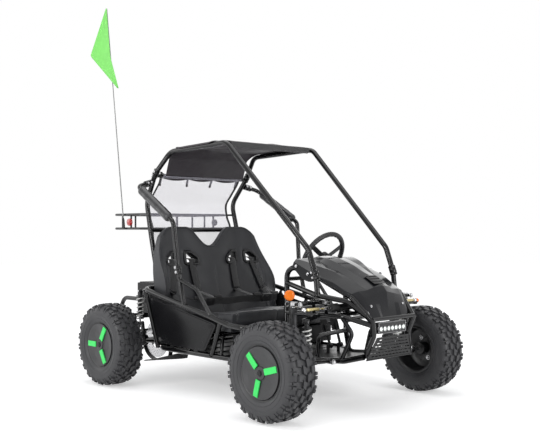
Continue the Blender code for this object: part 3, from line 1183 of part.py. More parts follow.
def build_rear():
    solids = [bush(PIVOT, (0, 1, 0), 0.262, 0.017, 0.009 + FIT, 12)]
    for side in (-1, 1):
        bearing = Vector((0, side * 0.275, AXLE_Z))
        solids.append(tube([PIVOT + Vector((-0.0155, side * 0.25, 0)), Vector((0.1, side * 0.27, 0.205)),
                            bearing + Vector((0.02, 0, 0))], 0.0125, 0.05))
        solids.append(bush(bearing, (0, 1, 0), 0.012, 0.027, AXLE_R + FIT, 10))
        eye = Vector((REAR_SHOCK.x, side * REAR_SHOCK.y, REAR_SHOCK_LOW_Z))
        plate = Vector((0, side * 0.2845, AXLE_Z))
        edge = ((-0.012, 0.02), (0.024, 0.02), (0.009, 0.095), (-0.009, 0.095))
        solids.append(prism(edge, plate, (1, 0, 0), (0, 0, 1), 0.005))
        solids.append(rod(Vector((eye.x, plate.y, eye.z)), eye + Vector((0, side * 0.0105, 0)), 0.0038))
    solids.append(box((MOUNT_X, -0.045, 0.192), (0.152, 0.085, 0.25)))
    guard = []
    for k in range(6):
        a = math.radians(160 + 22.4 * k)
        guard.append(Vector((0, DISC_Y, AXLE_Z)) + Vector((math.cos(a), 0, math.sin(a))) * 0.108)
    solids.append(strip(guard, 0.03, 0.004, (0, 1, 0), 0.02))
    solids.append(prism(((-0.05, -0.106), (0.13, -0.1), (0.108, -0.088), (-0.05, -0.1)), (0, DISC_Y, AXLE_Z),
                        (1, 0, 0), (0, 0, 1), 0.03))
    skid_end = [Vector((x, DISC_Y, z)) for x, z in ((0.108, 0.106), (0.118, 0.15), (0.124, 0.204))]
    solids.append(strip(skid_end, 0.024, 0.005, (0, 1, 0), 0.02))
    guard_top = guard[0]
    solids.append(rod(guard_top + Vector((0, 0.01, 0)), Vector((guard_top.x, -0.266, guard_top.z)), 0.006))
    guard_root = Vector((-0.02, -0.275, AXLE_Z + 0.002))
    solids.append(tube([Vector((guard_top.x, -0.262, guard_top.z)), guard_root], 0.006))
    caliper = Vector((0.075, DISC_Y, 0.262))
    for y in (-0.0095, 0.0095):
        jaw = Vector((-0.022, y - 0.005, -0.026))
        solids.append(box(caliper + jaw, caliper + Vector((0.022, y + 0.005, 0.014))))
    solids.append(box(caliper + Vector((0.004, -0.0145, 0.004)), caliper + Vector((0.022, 0.0145, 0.014))))
    solids.append(tube([caliper + Vector((0.012, -0.008, -0.01)), Vector((0.095, -0.262, 0.215))], 0.007))
    place('swing_arm', solids, PAINT, PIVOT)
    motor_foot = box((0.118, -0.04, 0.196), (MOUNT_X - GAP, 0.08, 0.248))
    solids = [turned(MOTOR - Vector((0, 0.062, 0)), (0, 1, 0), ((0, 0.04), (0.006, MOTOR_R), (0.125, MOTOR_R),
              (0.131, 0.04)), 18), motor_foot]
    case = Vector((0, 0.105, 0))
    outline = []
    for k in range(9):
        a = math.radians(90 + 22.5 * k)
        outline.append((0.034 * math.cos(a), AXLE_Z + 0.034 * math.sin(a)))
    for k in range(7):
        a = math.radians(-80 + 26.7 * k)
        outline.append((MOTOR.x + 0.028 * math.cos(a), MOTOR.z + 0.028 * math.sin(a)))
    solids.append(prism(outline, case, (1, 0, 0), (0, 0, 1), 0.04))
    bore = rod((0, 0.05, AXLE_Z), (0, 0.16, AXLE_Z), AXLE_R + 0.0012, 16)
    place('drive_unit', solids, (CHARCOAL, 0.4, 0.4), MOTOR, cuts=[bore])
    shoulder = REAR_TRACK_HALF - HUB_INNER - GAP
    tip = REAR_TRACK_HALF + HUB_DEEP - 0.001
    half = [(shoulder - 0.02, AXLE_R), (shoulder - 0.018, 0.026), (shoulder, 0.026), (shoulder, STUB_R)]
    half.append((tip, STUB_R))
    profile = [(-y, r) for y, r in reversed(half)] + half
    solids = [turned((0, 0, AXLE_Z), (0, 1, 0), profile, 14)]
    solids.append(turned((0, DISC_Y, AXLE_Z), (0, 1, 0), ((-0.002, DISC_R), (0.002, DISC_R)), 18))
    solids.append(turned((0, DISC_Y, AXLE_Z), (0, 1, 0), ((-0.012, 0.028), (0.012, 0.028)), 10))
    holes = []
    for k in range(8):
        a = 2 * math.pi * k / 8
        r = 0.078 if k % 2 else 0.066
        spot = Vector((r * math.cos(a), DISC_Y, AXLE_Z + r * math.sin(a)))
        holes.append(rod(spot - Vector((0, 0.01, 0)), spot + Vector((0, 0.01, 0)), 0.009, 6))
    place('rear_axle', solids, STEEL, (0, 0, AXLE_Z), cuts=[merged(holes)])


build_frame()
build_cage()
build_hoop()
build_side_bar('side_bar_left', 1)
build_side_bar('side_bar_right', -1)
build_rack()
build_canopy()
build_window()
build_flag()
build_seat()
build_hood()
build_plates()
build_box()
build_lamp()
build_pedals()
build_steering()
for lateral in (1, -1):
    build_corner(lateral)
for label, axle_x, track_half in (('front', WHEELBASE, FRONT_TRACK_HALF), ('rear', 0.0, REAR_TRACK_HALF)):
    build_wheel(label + '_left', axle_x, track_half)
    build_wheel(label + '_right', axle_x, -track_half)
for hand_name in ('left', 'right'):
    build_shock('front', hand_name, Vector((SHOCK_X, SHOCK_Y, SHOCK_TOP_Z)), SHOCK_LOW_Z, (1, 0, 0), 0.0029)
    build_shock('rear', hand_name, REAR_SHOCK, REAR_SHOCK_LOW_Z, (0, 1, 0), 0.0031)
build_rear()
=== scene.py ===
"""Looks of a two-seat electric off-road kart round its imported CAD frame; metres, X forward, Y left, Z up."""

import json
import math

import bmesh
import bpy
import numpy as np
from mathutils import Matrix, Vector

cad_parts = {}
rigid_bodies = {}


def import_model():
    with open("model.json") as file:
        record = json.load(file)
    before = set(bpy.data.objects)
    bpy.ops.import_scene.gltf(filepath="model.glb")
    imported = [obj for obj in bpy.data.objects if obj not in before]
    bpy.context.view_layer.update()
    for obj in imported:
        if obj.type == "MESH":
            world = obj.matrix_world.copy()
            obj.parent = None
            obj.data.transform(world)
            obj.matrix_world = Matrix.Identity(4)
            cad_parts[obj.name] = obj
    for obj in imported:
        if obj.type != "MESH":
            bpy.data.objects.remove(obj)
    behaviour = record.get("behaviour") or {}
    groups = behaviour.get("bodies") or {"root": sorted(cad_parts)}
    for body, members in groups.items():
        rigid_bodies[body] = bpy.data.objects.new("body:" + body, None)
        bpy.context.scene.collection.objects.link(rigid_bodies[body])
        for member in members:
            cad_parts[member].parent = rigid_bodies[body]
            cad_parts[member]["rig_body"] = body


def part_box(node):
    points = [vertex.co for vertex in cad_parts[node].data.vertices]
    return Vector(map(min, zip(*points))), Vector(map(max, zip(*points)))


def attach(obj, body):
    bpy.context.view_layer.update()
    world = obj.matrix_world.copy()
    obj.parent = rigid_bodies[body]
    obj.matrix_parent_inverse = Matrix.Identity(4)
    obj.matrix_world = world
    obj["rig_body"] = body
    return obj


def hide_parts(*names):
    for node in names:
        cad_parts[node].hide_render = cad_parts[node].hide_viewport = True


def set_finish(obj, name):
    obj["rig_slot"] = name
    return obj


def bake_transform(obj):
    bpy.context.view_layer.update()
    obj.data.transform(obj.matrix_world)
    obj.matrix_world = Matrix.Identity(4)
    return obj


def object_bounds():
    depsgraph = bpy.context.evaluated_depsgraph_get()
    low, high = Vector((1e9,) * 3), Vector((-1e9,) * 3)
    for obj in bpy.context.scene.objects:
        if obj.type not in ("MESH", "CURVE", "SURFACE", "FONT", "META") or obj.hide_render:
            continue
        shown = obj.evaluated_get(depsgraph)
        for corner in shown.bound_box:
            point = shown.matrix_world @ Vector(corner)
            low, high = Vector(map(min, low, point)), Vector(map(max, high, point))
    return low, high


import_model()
cad_bounds = [list(corner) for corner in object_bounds()]

# Camera, light and floor
# The kart stands on a seamless white studio floor under a wide ceiling softbox; three narrow strip lamps
# and two cards draw the bright lines along the glossy tubes.

axle_low, axle_high = (np.array(corner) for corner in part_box("rear_axle"))
REAR_AXLE = np.array([(axle_low[0] + axle_high[0]) / 2, 0.0, 0.0])
AHEAD, LEFT, UP = (1, 0, 0), (0, 1, 0), (0, 0, 1)
SQUARE = ((-1, -1), (1, -1), (1, 1), (-1, 1))
CAMERA_AT = (3.653, -2.872, 0.763)
CAMERA_YAW = math.radians(136.356)
CAMERA_PITCH = math.radians(0.861)
CAMERA_ROLL = math.radians(-0.103)
CAMERA_LENS = 57.94


def at(*point):
    """A place given from the rear axle's ground point, in the row frame."""
    return np.array(point, dtype=float) + REAR_AXLE


def unit(end, start=0.0):
    """The direction from start to end, made one long."""
    span = np.subtract(end, start, dtype=float)
    return span / np.linalg.norm(span)


def aimed(place, ahead, roll=0.0):
    """Camera or lamp matrix that looks along ahead, turned by roll about it."""
    ahead = unit(ahead)
    right = unit(np.cross(ahead, UP))
    up = np.cross(right, ahead)
    matrix = np.eye(4)
    matrix[:3, 0] = math.cos(roll) * right + math.sin(roll) * up
    matrix[:3, 1] = math.cos(roll) * up - math.sin(roll) * right
    matrix[:3, 2], matrix[:3, 3] = -ahead, place
    return Matrix(matrix.tolist())


view_ahead = (math.cos(CAMERA_PITCH) * math.cos(CAMERA_YAW), math.cos(CAMERA_PITCH) * math.sin(CAMERA_YAW),
    math.sin(CAMERA_PITCH))
lens = bpy.data.cameras.new("camera")
lens.lens = CAMERA_LENS
lens.sensor_width = 36.0
camera = bpy.data.objects.new("camera", lens)
camera.matrix_world = aimed(at(*CAMERA_AT), view_ahead, CAMERA_ROLL)
bpy.context.scene.collection.objects.link(camera)
bpy.context.scene.camera = camera
bpy.context.scene.view_settings.view_transform = "Standard"


def lamp(name, place, target, size, radiance):
    """Rectangular softbox; its power follows from its face and how bright that face looks."""
    light = bpy.data.lights.new(name, "AREA")
    light.shape = "RECTANGLE"
    light.size, light.size_y = size
    light.energy = radiance * math.pi * size[0] * size[1]
    item = bpy.data.objects.new(name, light)
    item.matrix_world = aimed(at(*place), at(*target) - at(*place))
    bpy.context.scene.collection.objects.link(item)


lamp("ceiling_softbox", (0.6, -0.2, 3.6), (0.6, 0.0, 0.0), (3.2, 2.4), 1.7)
lamp("near_strip", (1.6, -3.6, 2.5), (0.6, 0.0, 0.5), (3.4, 0.14), 20.0)
lamp("standing_strip", (0.2, -4.0, 1.1), (0.6, 0.0, 0.7), (0.3, 2.4), 20.0)
lamp("front_strip", (4.4, 0.2, 1.3), (0.6, 0.0, 0.6), (0.3, 2.4), 22.0)
lamp("left_card", (-2.6, -2.2, 1.6), (0.4, 0.0, 0.6), (1.6, 1.6), 1.6)
lamp("back_card", (-1.4, 3.6, 1.6), (1.1, 0.0, 0.55), (3.2, 2.2), 0.6)


def add_node(tree, kind, inputs=(), **options):
    """Shader node of a kind, with its own options and then the values of its named inputs set."""
    node = tree.nodes.new("ShaderNode" + kind)
    for name, value in options.items():
        setattr(node, name, value)
    for name, value in dict(inputs).items():
        node.inputs[name].default_value = value
    return node


def join(tree, *pairs):
    """Links from each output to its input."""
    for start, end in pairs:
        tree.links.new(start, end)


def shown(tree, hidden, seen, output):
    """Show one shader to camera, glossy and transmission rays and the other one to every other ray."""
    path = add_node(tree, "LightPath")
    total = path.outputs["Is Camera Ray"]
    for name in ("Is Glossy Ray", "Is Transmission Ray"):
        most = add_node(tree, "Math", operation="MAXIMUM")
        join(tree, (total, most.inputs[0]), (path.outputs[name], most.inputs[1]))
        total = most.outputs[0]
    mix, out = add_node(tree, "MixShader"), add_node(tree, output)
    join(tree, (total, mix.inputs[0]), (hidden.outputs[0], mix.inputs[1]), (seen.outputs[0], mix.inputs[2]),
        (mix.outputs[0], out.inputs[0]))


world = bpy.data.worlds.new("studio")
bpy.context.scene.world = world
world.use_nodes = True
tree = world.node_tree
tree.nodes.clear()
fill = add_node(tree, "Background", {"Color": (0.97, 0.98, 1.0, 1), "Strength": 0.5})
backdrop = add_node(tree, "Background", {"Color": (1, 1, 1, 1), "Strength": 1.0})
shown(tree, fill, backdrop, "OutputWorld")

FLOOR_HALF, FLOOR_SINK = 14.0, 0.0004
FLOOR_GLOW, FAR_GLOW = 0.42, 0.62
GLOW_FROM, GLOW_TO = 1.1, 3.2
floor_mesh = bpy.data.meshes.new("studio_floor")
floor_z = cad_bounds[0][2] - FLOOR_SINK
floor_corners = [(a * FLOOR_HALF, b * FLOOR_HALF, floor_z) for a, b in SQUARE]
floor_mesh.from_pydata(floor_corners, [], [(0, 1, 2, 3)])
studio_floor = bpy.data.objects.new("studio_floor", floor_mesh)
bpy.context.scene.collection.objects.link(studio_floor)
paper = bpy.data.materials.new("white_paper")
paper.use_nodes = True
tree = paper.node_tree
tree.nodes.clear()
matt = add_node(tree, "BsdfDiffuse", {"Color": (0.86, 0.86, 0.86, 1)})
glow = add_node(tree, "Emission", {"Color": (1, 1, 1, 1)})
far = add_node(tree, "VectorMath", operation="LENGTH")
rising = add_node(tree, "MapRange", {"From Min": GLOW_FROM, "From Max": GLOW_TO, "To Min": FLOOR_GLOW,
    "To Max": FAR_GLOW})
lit = add_node(tree, "AddShader")
join(tree, (add_node(tree, "TexCoord").outputs["Object"], far.inputs[0]),
    (far.outputs["Value"], rising.inputs["Value"]), (rising.outputs[0], glow.inputs["Strength"]),
    (matt.outputs[0], lit.inputs[0]), (glow.outputs[0], lit.inputs[1]))
shown(tree, matt, lit, "OutputMaterial")
floor_mesh.materials.append(paper)

# Frame
# Bent and welded mild-steel tube, 25 mm main runs with 22 and 18 mm braces, powder-coated gloss black.
# Every run is a round tube drawn along its bent centre line; a small fillet of weld closes each joint.

BLACK_PAINT = (0.0042, 0.0042, 0.0048)
ZINC = (0.55, 0.55, 0.56)
MAIN_R, BRACE_R, THIN_R = 0.0125, 0.0112, 0.009
PLATE = 0.003
TUBE_SIDES = 20
ARC_STEP, STRAIGHT = 0.13, 0.02


def finish(name, colour, roughness, shade=0.8, mottle=7.0, spread=0.06, grain=420.0, bump=0.03,
        relief=0.0004, sockets=()):
    """Surface colour that drifts between two tones with a slow noise, and a fine noise raised as bump."""
    look = bpy.data.materials.new(name)
    look.use_nodes = True
    tree = look.node_tree
    shader = tree.nodes["Principled BSDF"]
    for socket, value in dict(sockets).items():
        shader.inputs[socket].default_value = value
    dark, pale = [(*[min(1.0, c * part) for c in colour], 1) for part in (shade, 2 - shade)]
    where = add_node(tree, "TexCoord").outputs["Object"]
    slow = add_node(tree, "TexNoise", {"Scale": mottle, "Detail": 5.0})
    tone = add_node(tree, "Mix", {"A": dark, "B": pale}, data_type="RGBA")
    worn = add_node(tree, "MapRange", {"From Min": 0.3, "From Max": 0.7,
        "To Min": max(0.02, roughness - spread), "To Max": min(1.0, roughness + spread)})
    fine = add_node(tree, "TexNoise", {"Scale": grain, "Detail": 3.0})
    raised = add_node(tree, "Bump", {"Strength": bump, "Distance": relief})
    join(tree, (where, slow.inputs["Vector"]), (slow.outputs[0], tone.inputs["Factor"]),
        (tone.outputs["Result"], shader.inputs["Base Color"]), (slow.outputs[0], worn.inputs["Value"]),
        (worn.outputs[0], shader.inputs["Roughness"]), (where, fine.inputs["Vector"]),
        (fine.outputs[0], raised.inputs["Height"]), (raised.outputs[0], shader.inputs["Normal"]))
    return look


def bent_line(points, bend):
    """Straight runs joined by arcs of the bend radius; each arc is points turned evenly about its centre."""
    points = [np.array(p, dtype=float) for p in points]
    line = [points[0]]
    for before, corner, after in zip(points, points[1:], points[2:]):
        back_long, ahead_long = np.linalg.norm(before - corner), np.linalg.norm(after - corner)
        back, ahead = (before - corner) / back_long, (after - corner) / ahead_long
        half = math.acos(max(-1.0, min(1.0, float(back @ ahead)))) / 2
        turn = math.pi - 2 * half
        if turn < 2 * STRAIGHT:
            line.append(corner)
            continue
        reach = min(bend / math.tan(half), 0.45 * back_long, 0.45 * ahead_long)
        radius = reach * math.tan(half)
        centre = corner + unit(back + ahead) * radius / math.sin(half)
        first, last = corner + back * reach - centre, corner + ahead * reach - centre
        mix = np.linspace(0, 1, max(2, math.ceil(turn / ARC_STEP)) + 1)[:, None]
        arc = (first * np.sin((1 - mix) * turn) + last * np.sin(mix * turn)) / math.sin(turn)
        line.extend(centre + arc)
    line.append(points[-1])
    return np.array(line)


def carried(line, start=None):
    """Across and up directions carried along a line so that they never twist about it."""
    along = np.gradient(line, axis=0)
    along /= np.linalg.norm(along, axis=1)[:, None]
    across = []
    start = np.cross(along[0], (0.3, 0.2, 1.0)) if start is None else start
    for direction in along:
        start = unit(start - direction * float(start @ direction))
        across.append(start)
    across = np.array(across)
    return across, np.cross(along, across)


def skin(rings, closed=False):
    """Faces over an array of equal rings of points, rings by points by xyz; an open row gets two end caps."""
    count, size = rings.shape[:2]
    spans = count if closed else count - 1
    low = (np.arange(spans)[:, None] * size + np.arange(size)[None, :])
    high = (low + size) % (count * size)
    step = np.roll(low, -1, axis=1)
    faces = np.stack([low, step, np.roll(high, -1, axis=1), high], axis=2).reshape(-1, 4).tolist()
    if not closed:
        faces.append(list(range(size))[::-1])
        faces.append(list(range((count - 1) * size, count * size)))
    return rings.reshape(-1, 3), faces


def round_angles(count):
    """Even angles once round a circle."""
    return np.linspace(0, math.tau, count, endpoint=False)


def hoops(line, radius, sides, start=None):
    """A circle of the radius set across a line at each of its stations."""
    across, up = carried(line, start)
    a = round_angles(sides)
    spokes = across[:, None] * np.cos(a)[None, :, None] + up[:, None] * np.sin(a)[None, :, None]
    return line[:, None] + radius * spokes


def tube(points, radius=MAIN_R, bend=0.05):
    """Round tube: circles of the radius set across the bent line through the points."""
    return skin(hoops(bent_line([at(*p) for p in points], bend), radius, TUBE_SIDES))


def turned(centre, axis, profile, sides=32, closed=False):
    """Solid of revolution: pairs of distance along the axis and radius, swept round the axis."""
    axis = unit(axis)
    across = unit(np.cross(axis, (0.31, 0.17, 0.93)))
    up = np.cross(axis, across)
    a = round_angles(sides)
    spokes = across * np.cos(a)[:, None] + up * np.sin(a)[:, None]
    profile = np.array(profile, dtype=float)
    rings = at(*centre) + axis * profile[:, :1, None] + spokes[None] * profile[:, 1:, None]
    return skin(rings, closed)


def rod(start, end, radius, sides=TUBE_SIDES):
    """Straight round bar from start to end."""
    span = np.subtract(end, start, dtype=float)
    return turned(start, span, ((0, radius), (np.linalg.norm(span), radius)), sides)


def prism(outline, origin, across, up, depth):
    """Flat outline thickened evenly on both sides of its plane."""
    across, up = unit(across), np.array(up, dtype=float)
    up = unit(up - across * float(up @ across))
    outline = np.array(outline, dtype=float)
    flat = at(*origin) + across * outline[:, :1] + up * outline[:, 1:]
    lift = np.cross(across, up) * depth / 2
    return skin(np.stack([flat - lift, flat + lift]))


def block(low, high):
    """Box between two opposite corners."""
    low, high = np.array(low, dtype=float), np.array(high, dtype=float)
    half = (high - low) / 2
    return prism([(a * half[0], b * half[1]) for a, b in SQUARE], (low + high) / 2, AHEAD, LEFT,
        2 * half[2])


def mirrored(part):
    """The same solid on the other side of the kart, with its faces turned back outwards."""
    verts, faces = part
    return verts * (1, -1, 1), [face[::-1] for face in faces]


def handed(parts, hand):
    """The parts as they are for the left side, mirrored for the right one."""
    return parts if hand == "left" else [mirrored(part) for part in parts]


def both(parts):
    """The parts of both sides."""
    return [*parts, *handed(parts, "right")]


def faced_out(part):
    """The part with its faces turned outward, told by the sign of the volume that its closed skin holds."""
    points, sides = part
    corners = np.concatenate([np.asarray(side) for side in sides])
    sizes = np.array([len(side) for side in sides])
    first = np.cumsum(sizes) - sizes
    after = np.roll(corners, -1)
    after[first + sizes - 1] = corners[first]
    if 2 * len(np.unique(np.sort(np.stack([corners, after], axis=1), axis=1), axis=0)) > len(corners):
        return part
    spots = np.asarray(points) - np.mean(points, axis=0)
    volume = (spots[np.repeat(corners[first], sizes)] * np.cross(spots[corners], spots[after])).sum()
    return (points, [side[::-1] for side in sides]) if volume < 0 else part


def smoothed(mesh, angle):
    """Shade a mesh smooth across edges shallower than the angle."""
    mesh.polygons.foreach_set("use_smooth", np.ones(len(mesh.polygons), dtype=bool))
    mesh.set_sharp_from_angle(angle=math.radians(angle))


def loose_piece(name, parts, look, angle=38):
    """Mesh of the parts at its real place, smooth across edges shallower than the angle."""
    verts, faces, start = [], [], 0
    for more, sides in map(faced_out, parts):
        verts.append(more)
        faces += [[k + start for k in side] for side in sides]
        start += len(more)
    mesh = bpy.data.meshes.new(name)
    mesh.from_pydata(np.concatenate(verts).tolist(), [], faces)
    smoothed(mesh, angle)
    mesh.materials.append(look)
    item = bpy.data.objects.new(name, mesh)
    bpy.context.scene.collection.objects.link(item)
    return item


def rounded_edges(item, width, segments=2, degrees=30):
    """Bevel the edges of a piece that are sharper than the angle."""
    edge = item.modifiers.new("edge", "BEVEL")
    edge.width, edge.segments = width, segments
    edge.limit_method, edge.angle_limit = "ANGLE", math.radians(degrees)


def thickened(item, thick):
    """Give a sheet its thickness, half of it on each side."""
    wall = item.modifiers.new("thickness", "SOLIDIFY")
    wall.thickness, wall.offset = thick, 0.0


def piece(name, parts, look, body="chassis", slot="frame_paint", replaces=(), angle=38, bevel=0.0,
        segments=2):
    """Mesh of the parts with its edges rounded, riding on a body and standing for the nodes it replaces."""
    item = loose_piece(name, parts, look, angle)
    if bevel:
        rounded_edges(item, bevel, segments)
    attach(item, body)
    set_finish(item, slot)
    if replaces:
        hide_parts(*replaces)
    return item


gloss_paint = finish("gloss_black_powder_coat", BLACK_PAINT, 0.13, shade=0.7, mottle=11.0, spread=0.04,
    grain=900.0, bump=0.05, relief=0.0002, sockets={"Coat Weight": 0.3, "Coat Roughness": 0.05,
    "Specular IOR Level": 0.24})
satin_paint = finish("satin_black_paint", (0.0085, 0.0085, 0.0092), 0.36, shade=0.75, mottle=16.0,
    spread=0.1, grain=700.0, bump=0.12, relief=0.0003, sockets={"Specular IOR Level": 0.3})
zinc_plate = finish("zinc_plated_steel", ZINC, 0.28, shade=0.7, mottle=60.0, spread=0.12, grain=1400.0,
    bump=0.1, relief=0.0002, sockets={"Metallic": 1.0})

RAIL_REAR = (0.165, 0.4, 0.475)
RAIL_SEAT = (0.487, 0.4, 0.411)
RAIL_ARM = (0.681, 0.4, 0.374)
LOWER_REAR = (0.2, 0.33, 0.187)
LOWER_TURN = (0.8, 0.33, 0.187)
LOWER_KNEE = (1.03, 0.16, 0.2)
LOWER_FRONT = (1.252, 0.16, 0.216)
NOSE_LOW = (1.35, 0.15, 0.235)
PLATE_TOP = (1.371, 0.112, 0.325)
NOSE_HIGH = (1.385, 0.138, 0.385)
DASH_TOP = (0.95, 0.191, 0.605)
UPPER_MID = (1.192, 0.2545, 0.488)
UPPER_FRONT = (1.285, 0.182, 0.466)
MID_FRONT = (1.288, 0.2, 0.404)
CAGE_FOOT = (1.181, 0.2545, 0.575)
CAGE_KNEE = (1.141, 0.256, 0.679)
POST_JOINT = (0.445, 0.4, 0.575)
HOOP_FOOT = (0.153, 0.3, 0.51)
CUSHION_LOW = 0.298
SWING_PIVOT = (0.163, 0.0, 0.207)
DASH_X = 0.95
TIE_HEIGHT = 0.4365
ARM_INNER_Y = 0.205
RACK_X = 1.22


def across_middle(points):
    """A left-hand run carried on as its mirror image."""
    points = [tuple(p) for p in points]
    return points + [(x, -y, z) for x, y, z in reversed(points)]


def moved(point, x=0.0, y=0.0, z=0.0):
    """The point shifted by x, y and z."""
    return (point[0] + x, point[1] + y, point[2] + z)


main_runs = [
    tube(across_middle([moved(NOSE_LOW, -0.004, -0.005, 0.005), LOWER_FRONT, LOWER_KNEE, LOWER_TURN,
        LOWER_REAR])),
    tube(across_middle([(DASH_X, 0.193, 0.335), (0.912, 0.4, 0.341), (0.802, 0.4, 0.346), RAIL_ARM,
        RAIL_SEAT, RAIL_REAR]), 0.0122),
    tube(across_middle([moved(NOSE_HIGH, 0, 0, 0.012), PLATE_TOP, NOSE_LOW]), bend=0.03),
    tube(across_middle([(0.177, 0.388, 0.415), (0.1, 0.265, 0.405), (-0.19, 0.265, 0.405),
        (-0.255, 0.265, 0.3)]), BRACE_R),
    rod(moved(NOSE_HIGH, 0.001, 0, 0.009), moved(NOSE_HIGH, 0.001, -0.276, 0.009), THIN_R),
    rod((DASH_X, 0.191, 0.545), (DASH_X, -0.191, 0.545), THIN_R),
    rod((RACK_X, -0.2, 0.404), (RACK_X, 0.2, 0.404), THIN_R),
    rod(moved(SWING_PIVOT, 0, -0.29), moved(SWING_PIVOT, 0, 0.29), 0.009),
]
for x in (0.44, 0.67):
    main_runs.append(tube(across_middle([(x, 0.33, 0.187), (x, 0.322, CUSHION_LOW - 0.0084)]),
        0.0084, 0.025))
side_runs = [
    tube([(DASH_X, 0.217, 0.193), (DASH_X, 0.195, 0.29), DASH_TOP, (1.1, 0.191, 0.574),
        (1.295, 0.163, 0.482), NOSE_HIGH], 0.0118, 0.045),
    tube([(DASH_X, 0.193, 0.528), UPPER_MID, UPPER_FRONT, moved(NOSE_HIGH, -0.02, 0.006, 0.02)],
        BRACE_R, 0.04),
    tube([UPPER_MID, moved(CAGE_FOOT, 0.002, 0, -0.006)], 0.0115),
    tube([(DASH_X, 0.194, 0.4), (1.08, 0.2, 0.402), MID_FRONT,
        moved(NOSE_HIGH, -0.003, 0, -0.014)], BRACE_R),
    tube([moved(MID_FRONT, -0.014), (1.32, 0.185, 0.336), moved(LOWER_FRONT, -0.014)], THIN_R, 0.025),
    tube([(1.1, 0.16, 0.205), (1.12, 0.172, 0.31), (1.3, 0.19, 0.352)], THIN_R, 0.025),
    tube([moved(LOWER_REAR, -0.006), moved(RAIL_REAR, 0.012, -0.004, -0.002)], BRACE_R),
    tube([(0.741, 0.395, 0.358), (0.61, 0.335, 0.192)], BRACE_R),
    tube([RAIL_SEAT, (0.4502, 0.4, 0.555)], BRACE_R),
    tube([(0.456, 0.4, 0.53), (0.58, 0.4, 0.49), RAIL_ARM], THIN_R, 0.03),
    rod((RAIL_REAR[0], HOOP_FOOT[1], RAIL_REAR[2]), moved(HOOP_FOOT, 0.003, 0, -0.009), BRACE_R),
]
piece("frame_tubes", main_runs + both(side_runs), gloss_paint, replaces=["main_frame"])

JOINTS = ((DASH_X, 0.4, 0.343), (DASH_X, 0.192, 0.528), (DASH_X, 0.192, 0.4), (0.456, 0.4, 0.53),
    (0.676, 0.4, 0.378), (0.487, 0.4, 0.411), (0.741, 0.395, 0.36), (0.61, 0.335, 0.19), (0.2, 0.33, 0.2),
    (0.177, 0.396, 0.467), (1.274, 0.2, 0.4), (1.24, 0.16, 0.22), (1.19, 0.2545, 0.5))
weld_axes = (LEFT, (1, 0.1, 0), AHEAD, (1, 0, -0.3), (0.6, 0, -1), (-0.2, 0, 1), (0.6, 0.3, 1),
    (0.6, 0.3, 1), (0, 0.1, 1), UP, (0.4, 0, -1), (0.6, 0, 1), UP)
beads = []
for spot, axis in zip(JOINTS, weld_axes):
    ring = [(0.0022 * math.sin(t), 0.0121 + 0.0022 * math.cos(t)) for t in round_angles(7)]
    beads.append(turned(spot, axis, ring, 26, closed=True))
piece("weld_beads", both(beads), gloss_paint, angle=60)

# Floor plate and brackets
# 3 mm steel sheet laid between the lower rails, and laser-cut tabs that carry the arms, shocks and rack.

KING_Y = 0.365
ARM_BACK, ARM_FRONT = 1.105, 1.225
TOP_BACK, TOP_FRONT = 1.128, 1.182
LOWER_Z, UPPER_Z = 0.215, 0.457
SHOCK = (1.172, 0.298, 0.383)
SHOCK_LOW_Z = 0.245
REAR_SHOCK = (0.0, 0.3, 0.45)
REAR_SHOCK_LOW_Z = 0.285
PIN_R, GAP = 0.0055, 0.0006
LAMP = (1.371, 0.0, 0.355)
LAMP_HALF = 0.09
WHEEL_HUB = (0.851, 0.145, 0.631)
COLUMN_TILT = 0.49
COLUMN = np.array((math.cos(COLUMN_TILT), 0.0, -math.sin(COLUMN_TILT)))
SHAFT_R = 0.009


def along_column(reach):
    """Point on the steering column's line, reached from the wheel's hub."""
    return tuple(np.array(WHEEL_HUB) + COLUMN * reach)


floor_rows = []
for (x, y, z), half in ((LOWER_REAR, 0.329), (LOWER_TURN, 0.329), (LOWER_KNEE, 0.159), (LOWER_FRONT, 0.159),
        (NOSE_LOW, 0.15)):
    low, high = z - PLATE / 2, z + PLATE / 2
    floor_rows.append([at(x, -half, low), at(x, half, low), at(x, half, high), at(x, -half, high)])
ribs = [block((x - 0.006, -0.3, 0.1872), (x + 0.006, 0.3, 0.1915)) for x in (0.3, 0.42, 0.54, 0.65)]
ribs.append(block((0.69, -0.29, 0.187), (0.785, 0.29, 0.191)))
piece("floor_plate", [skin(np.array(floor_rows))] + ribs, satin_paint, bevel=0.001)

tabs = [
    prism(((-0.03, -0.018), (0.045, -0.024), (0.045, 0.012), (-0.018, 0.022)), moved(SWING_PIVOT, 0, 0.282),
        AHEAD, UP, 0.006),
    prism(((-0.016, -0.048), (0.016, -0.048), (0.014, 0.012), (-0.014, 0.012)),
        moved(REAR_SHOCK, 0, -0.0285), AHEAD, UP, 0.006),
    prism(((-0.1, 0.012), (-0.1, 0.028), (0.008, 0.01), (0.008, -0.008), (-0.005, -0.01)),
        moved(SHOCK, -0.016), LEFT, UP, 0.005),
    block((RACK_X - 0.007, 0.094, 0.402), (RACK_X + 0.007, 0.106, TIE_HEIGHT - 0.0135)),
]
for x in (ARM_BACK - 0.008, ARM_FRONT + 0.008):
    tabs.append(prism(((-0.045, -0.006), (0.01, -0.01), (0.01, 0.01), (-0.045, 0.006)),
        (x, ARM_INNER_Y, LOWER_Z), LEFT, UP, 0.005))
for x in (TOP_BACK - 0.008, TOP_FRONT + 0.008):
    tabs.append(prism(((-0.012, -0.052), (0.006, -0.052), (0.01, 0.01), (-0.01, 0.01)),
        (x, ARM_INNER_Y, UPPER_Z), LEFT, UP, 0.005))
column_at = along_column((DASH_X - WHEEL_HUB[0]) / COLUMN[0])
column_ring = turned(column_at, COLUMN, ((-0.014, 0.0165), (0.014, 0.0165), (0.014, 0.0098),
    (-0.014, 0.0098)), 28, True)
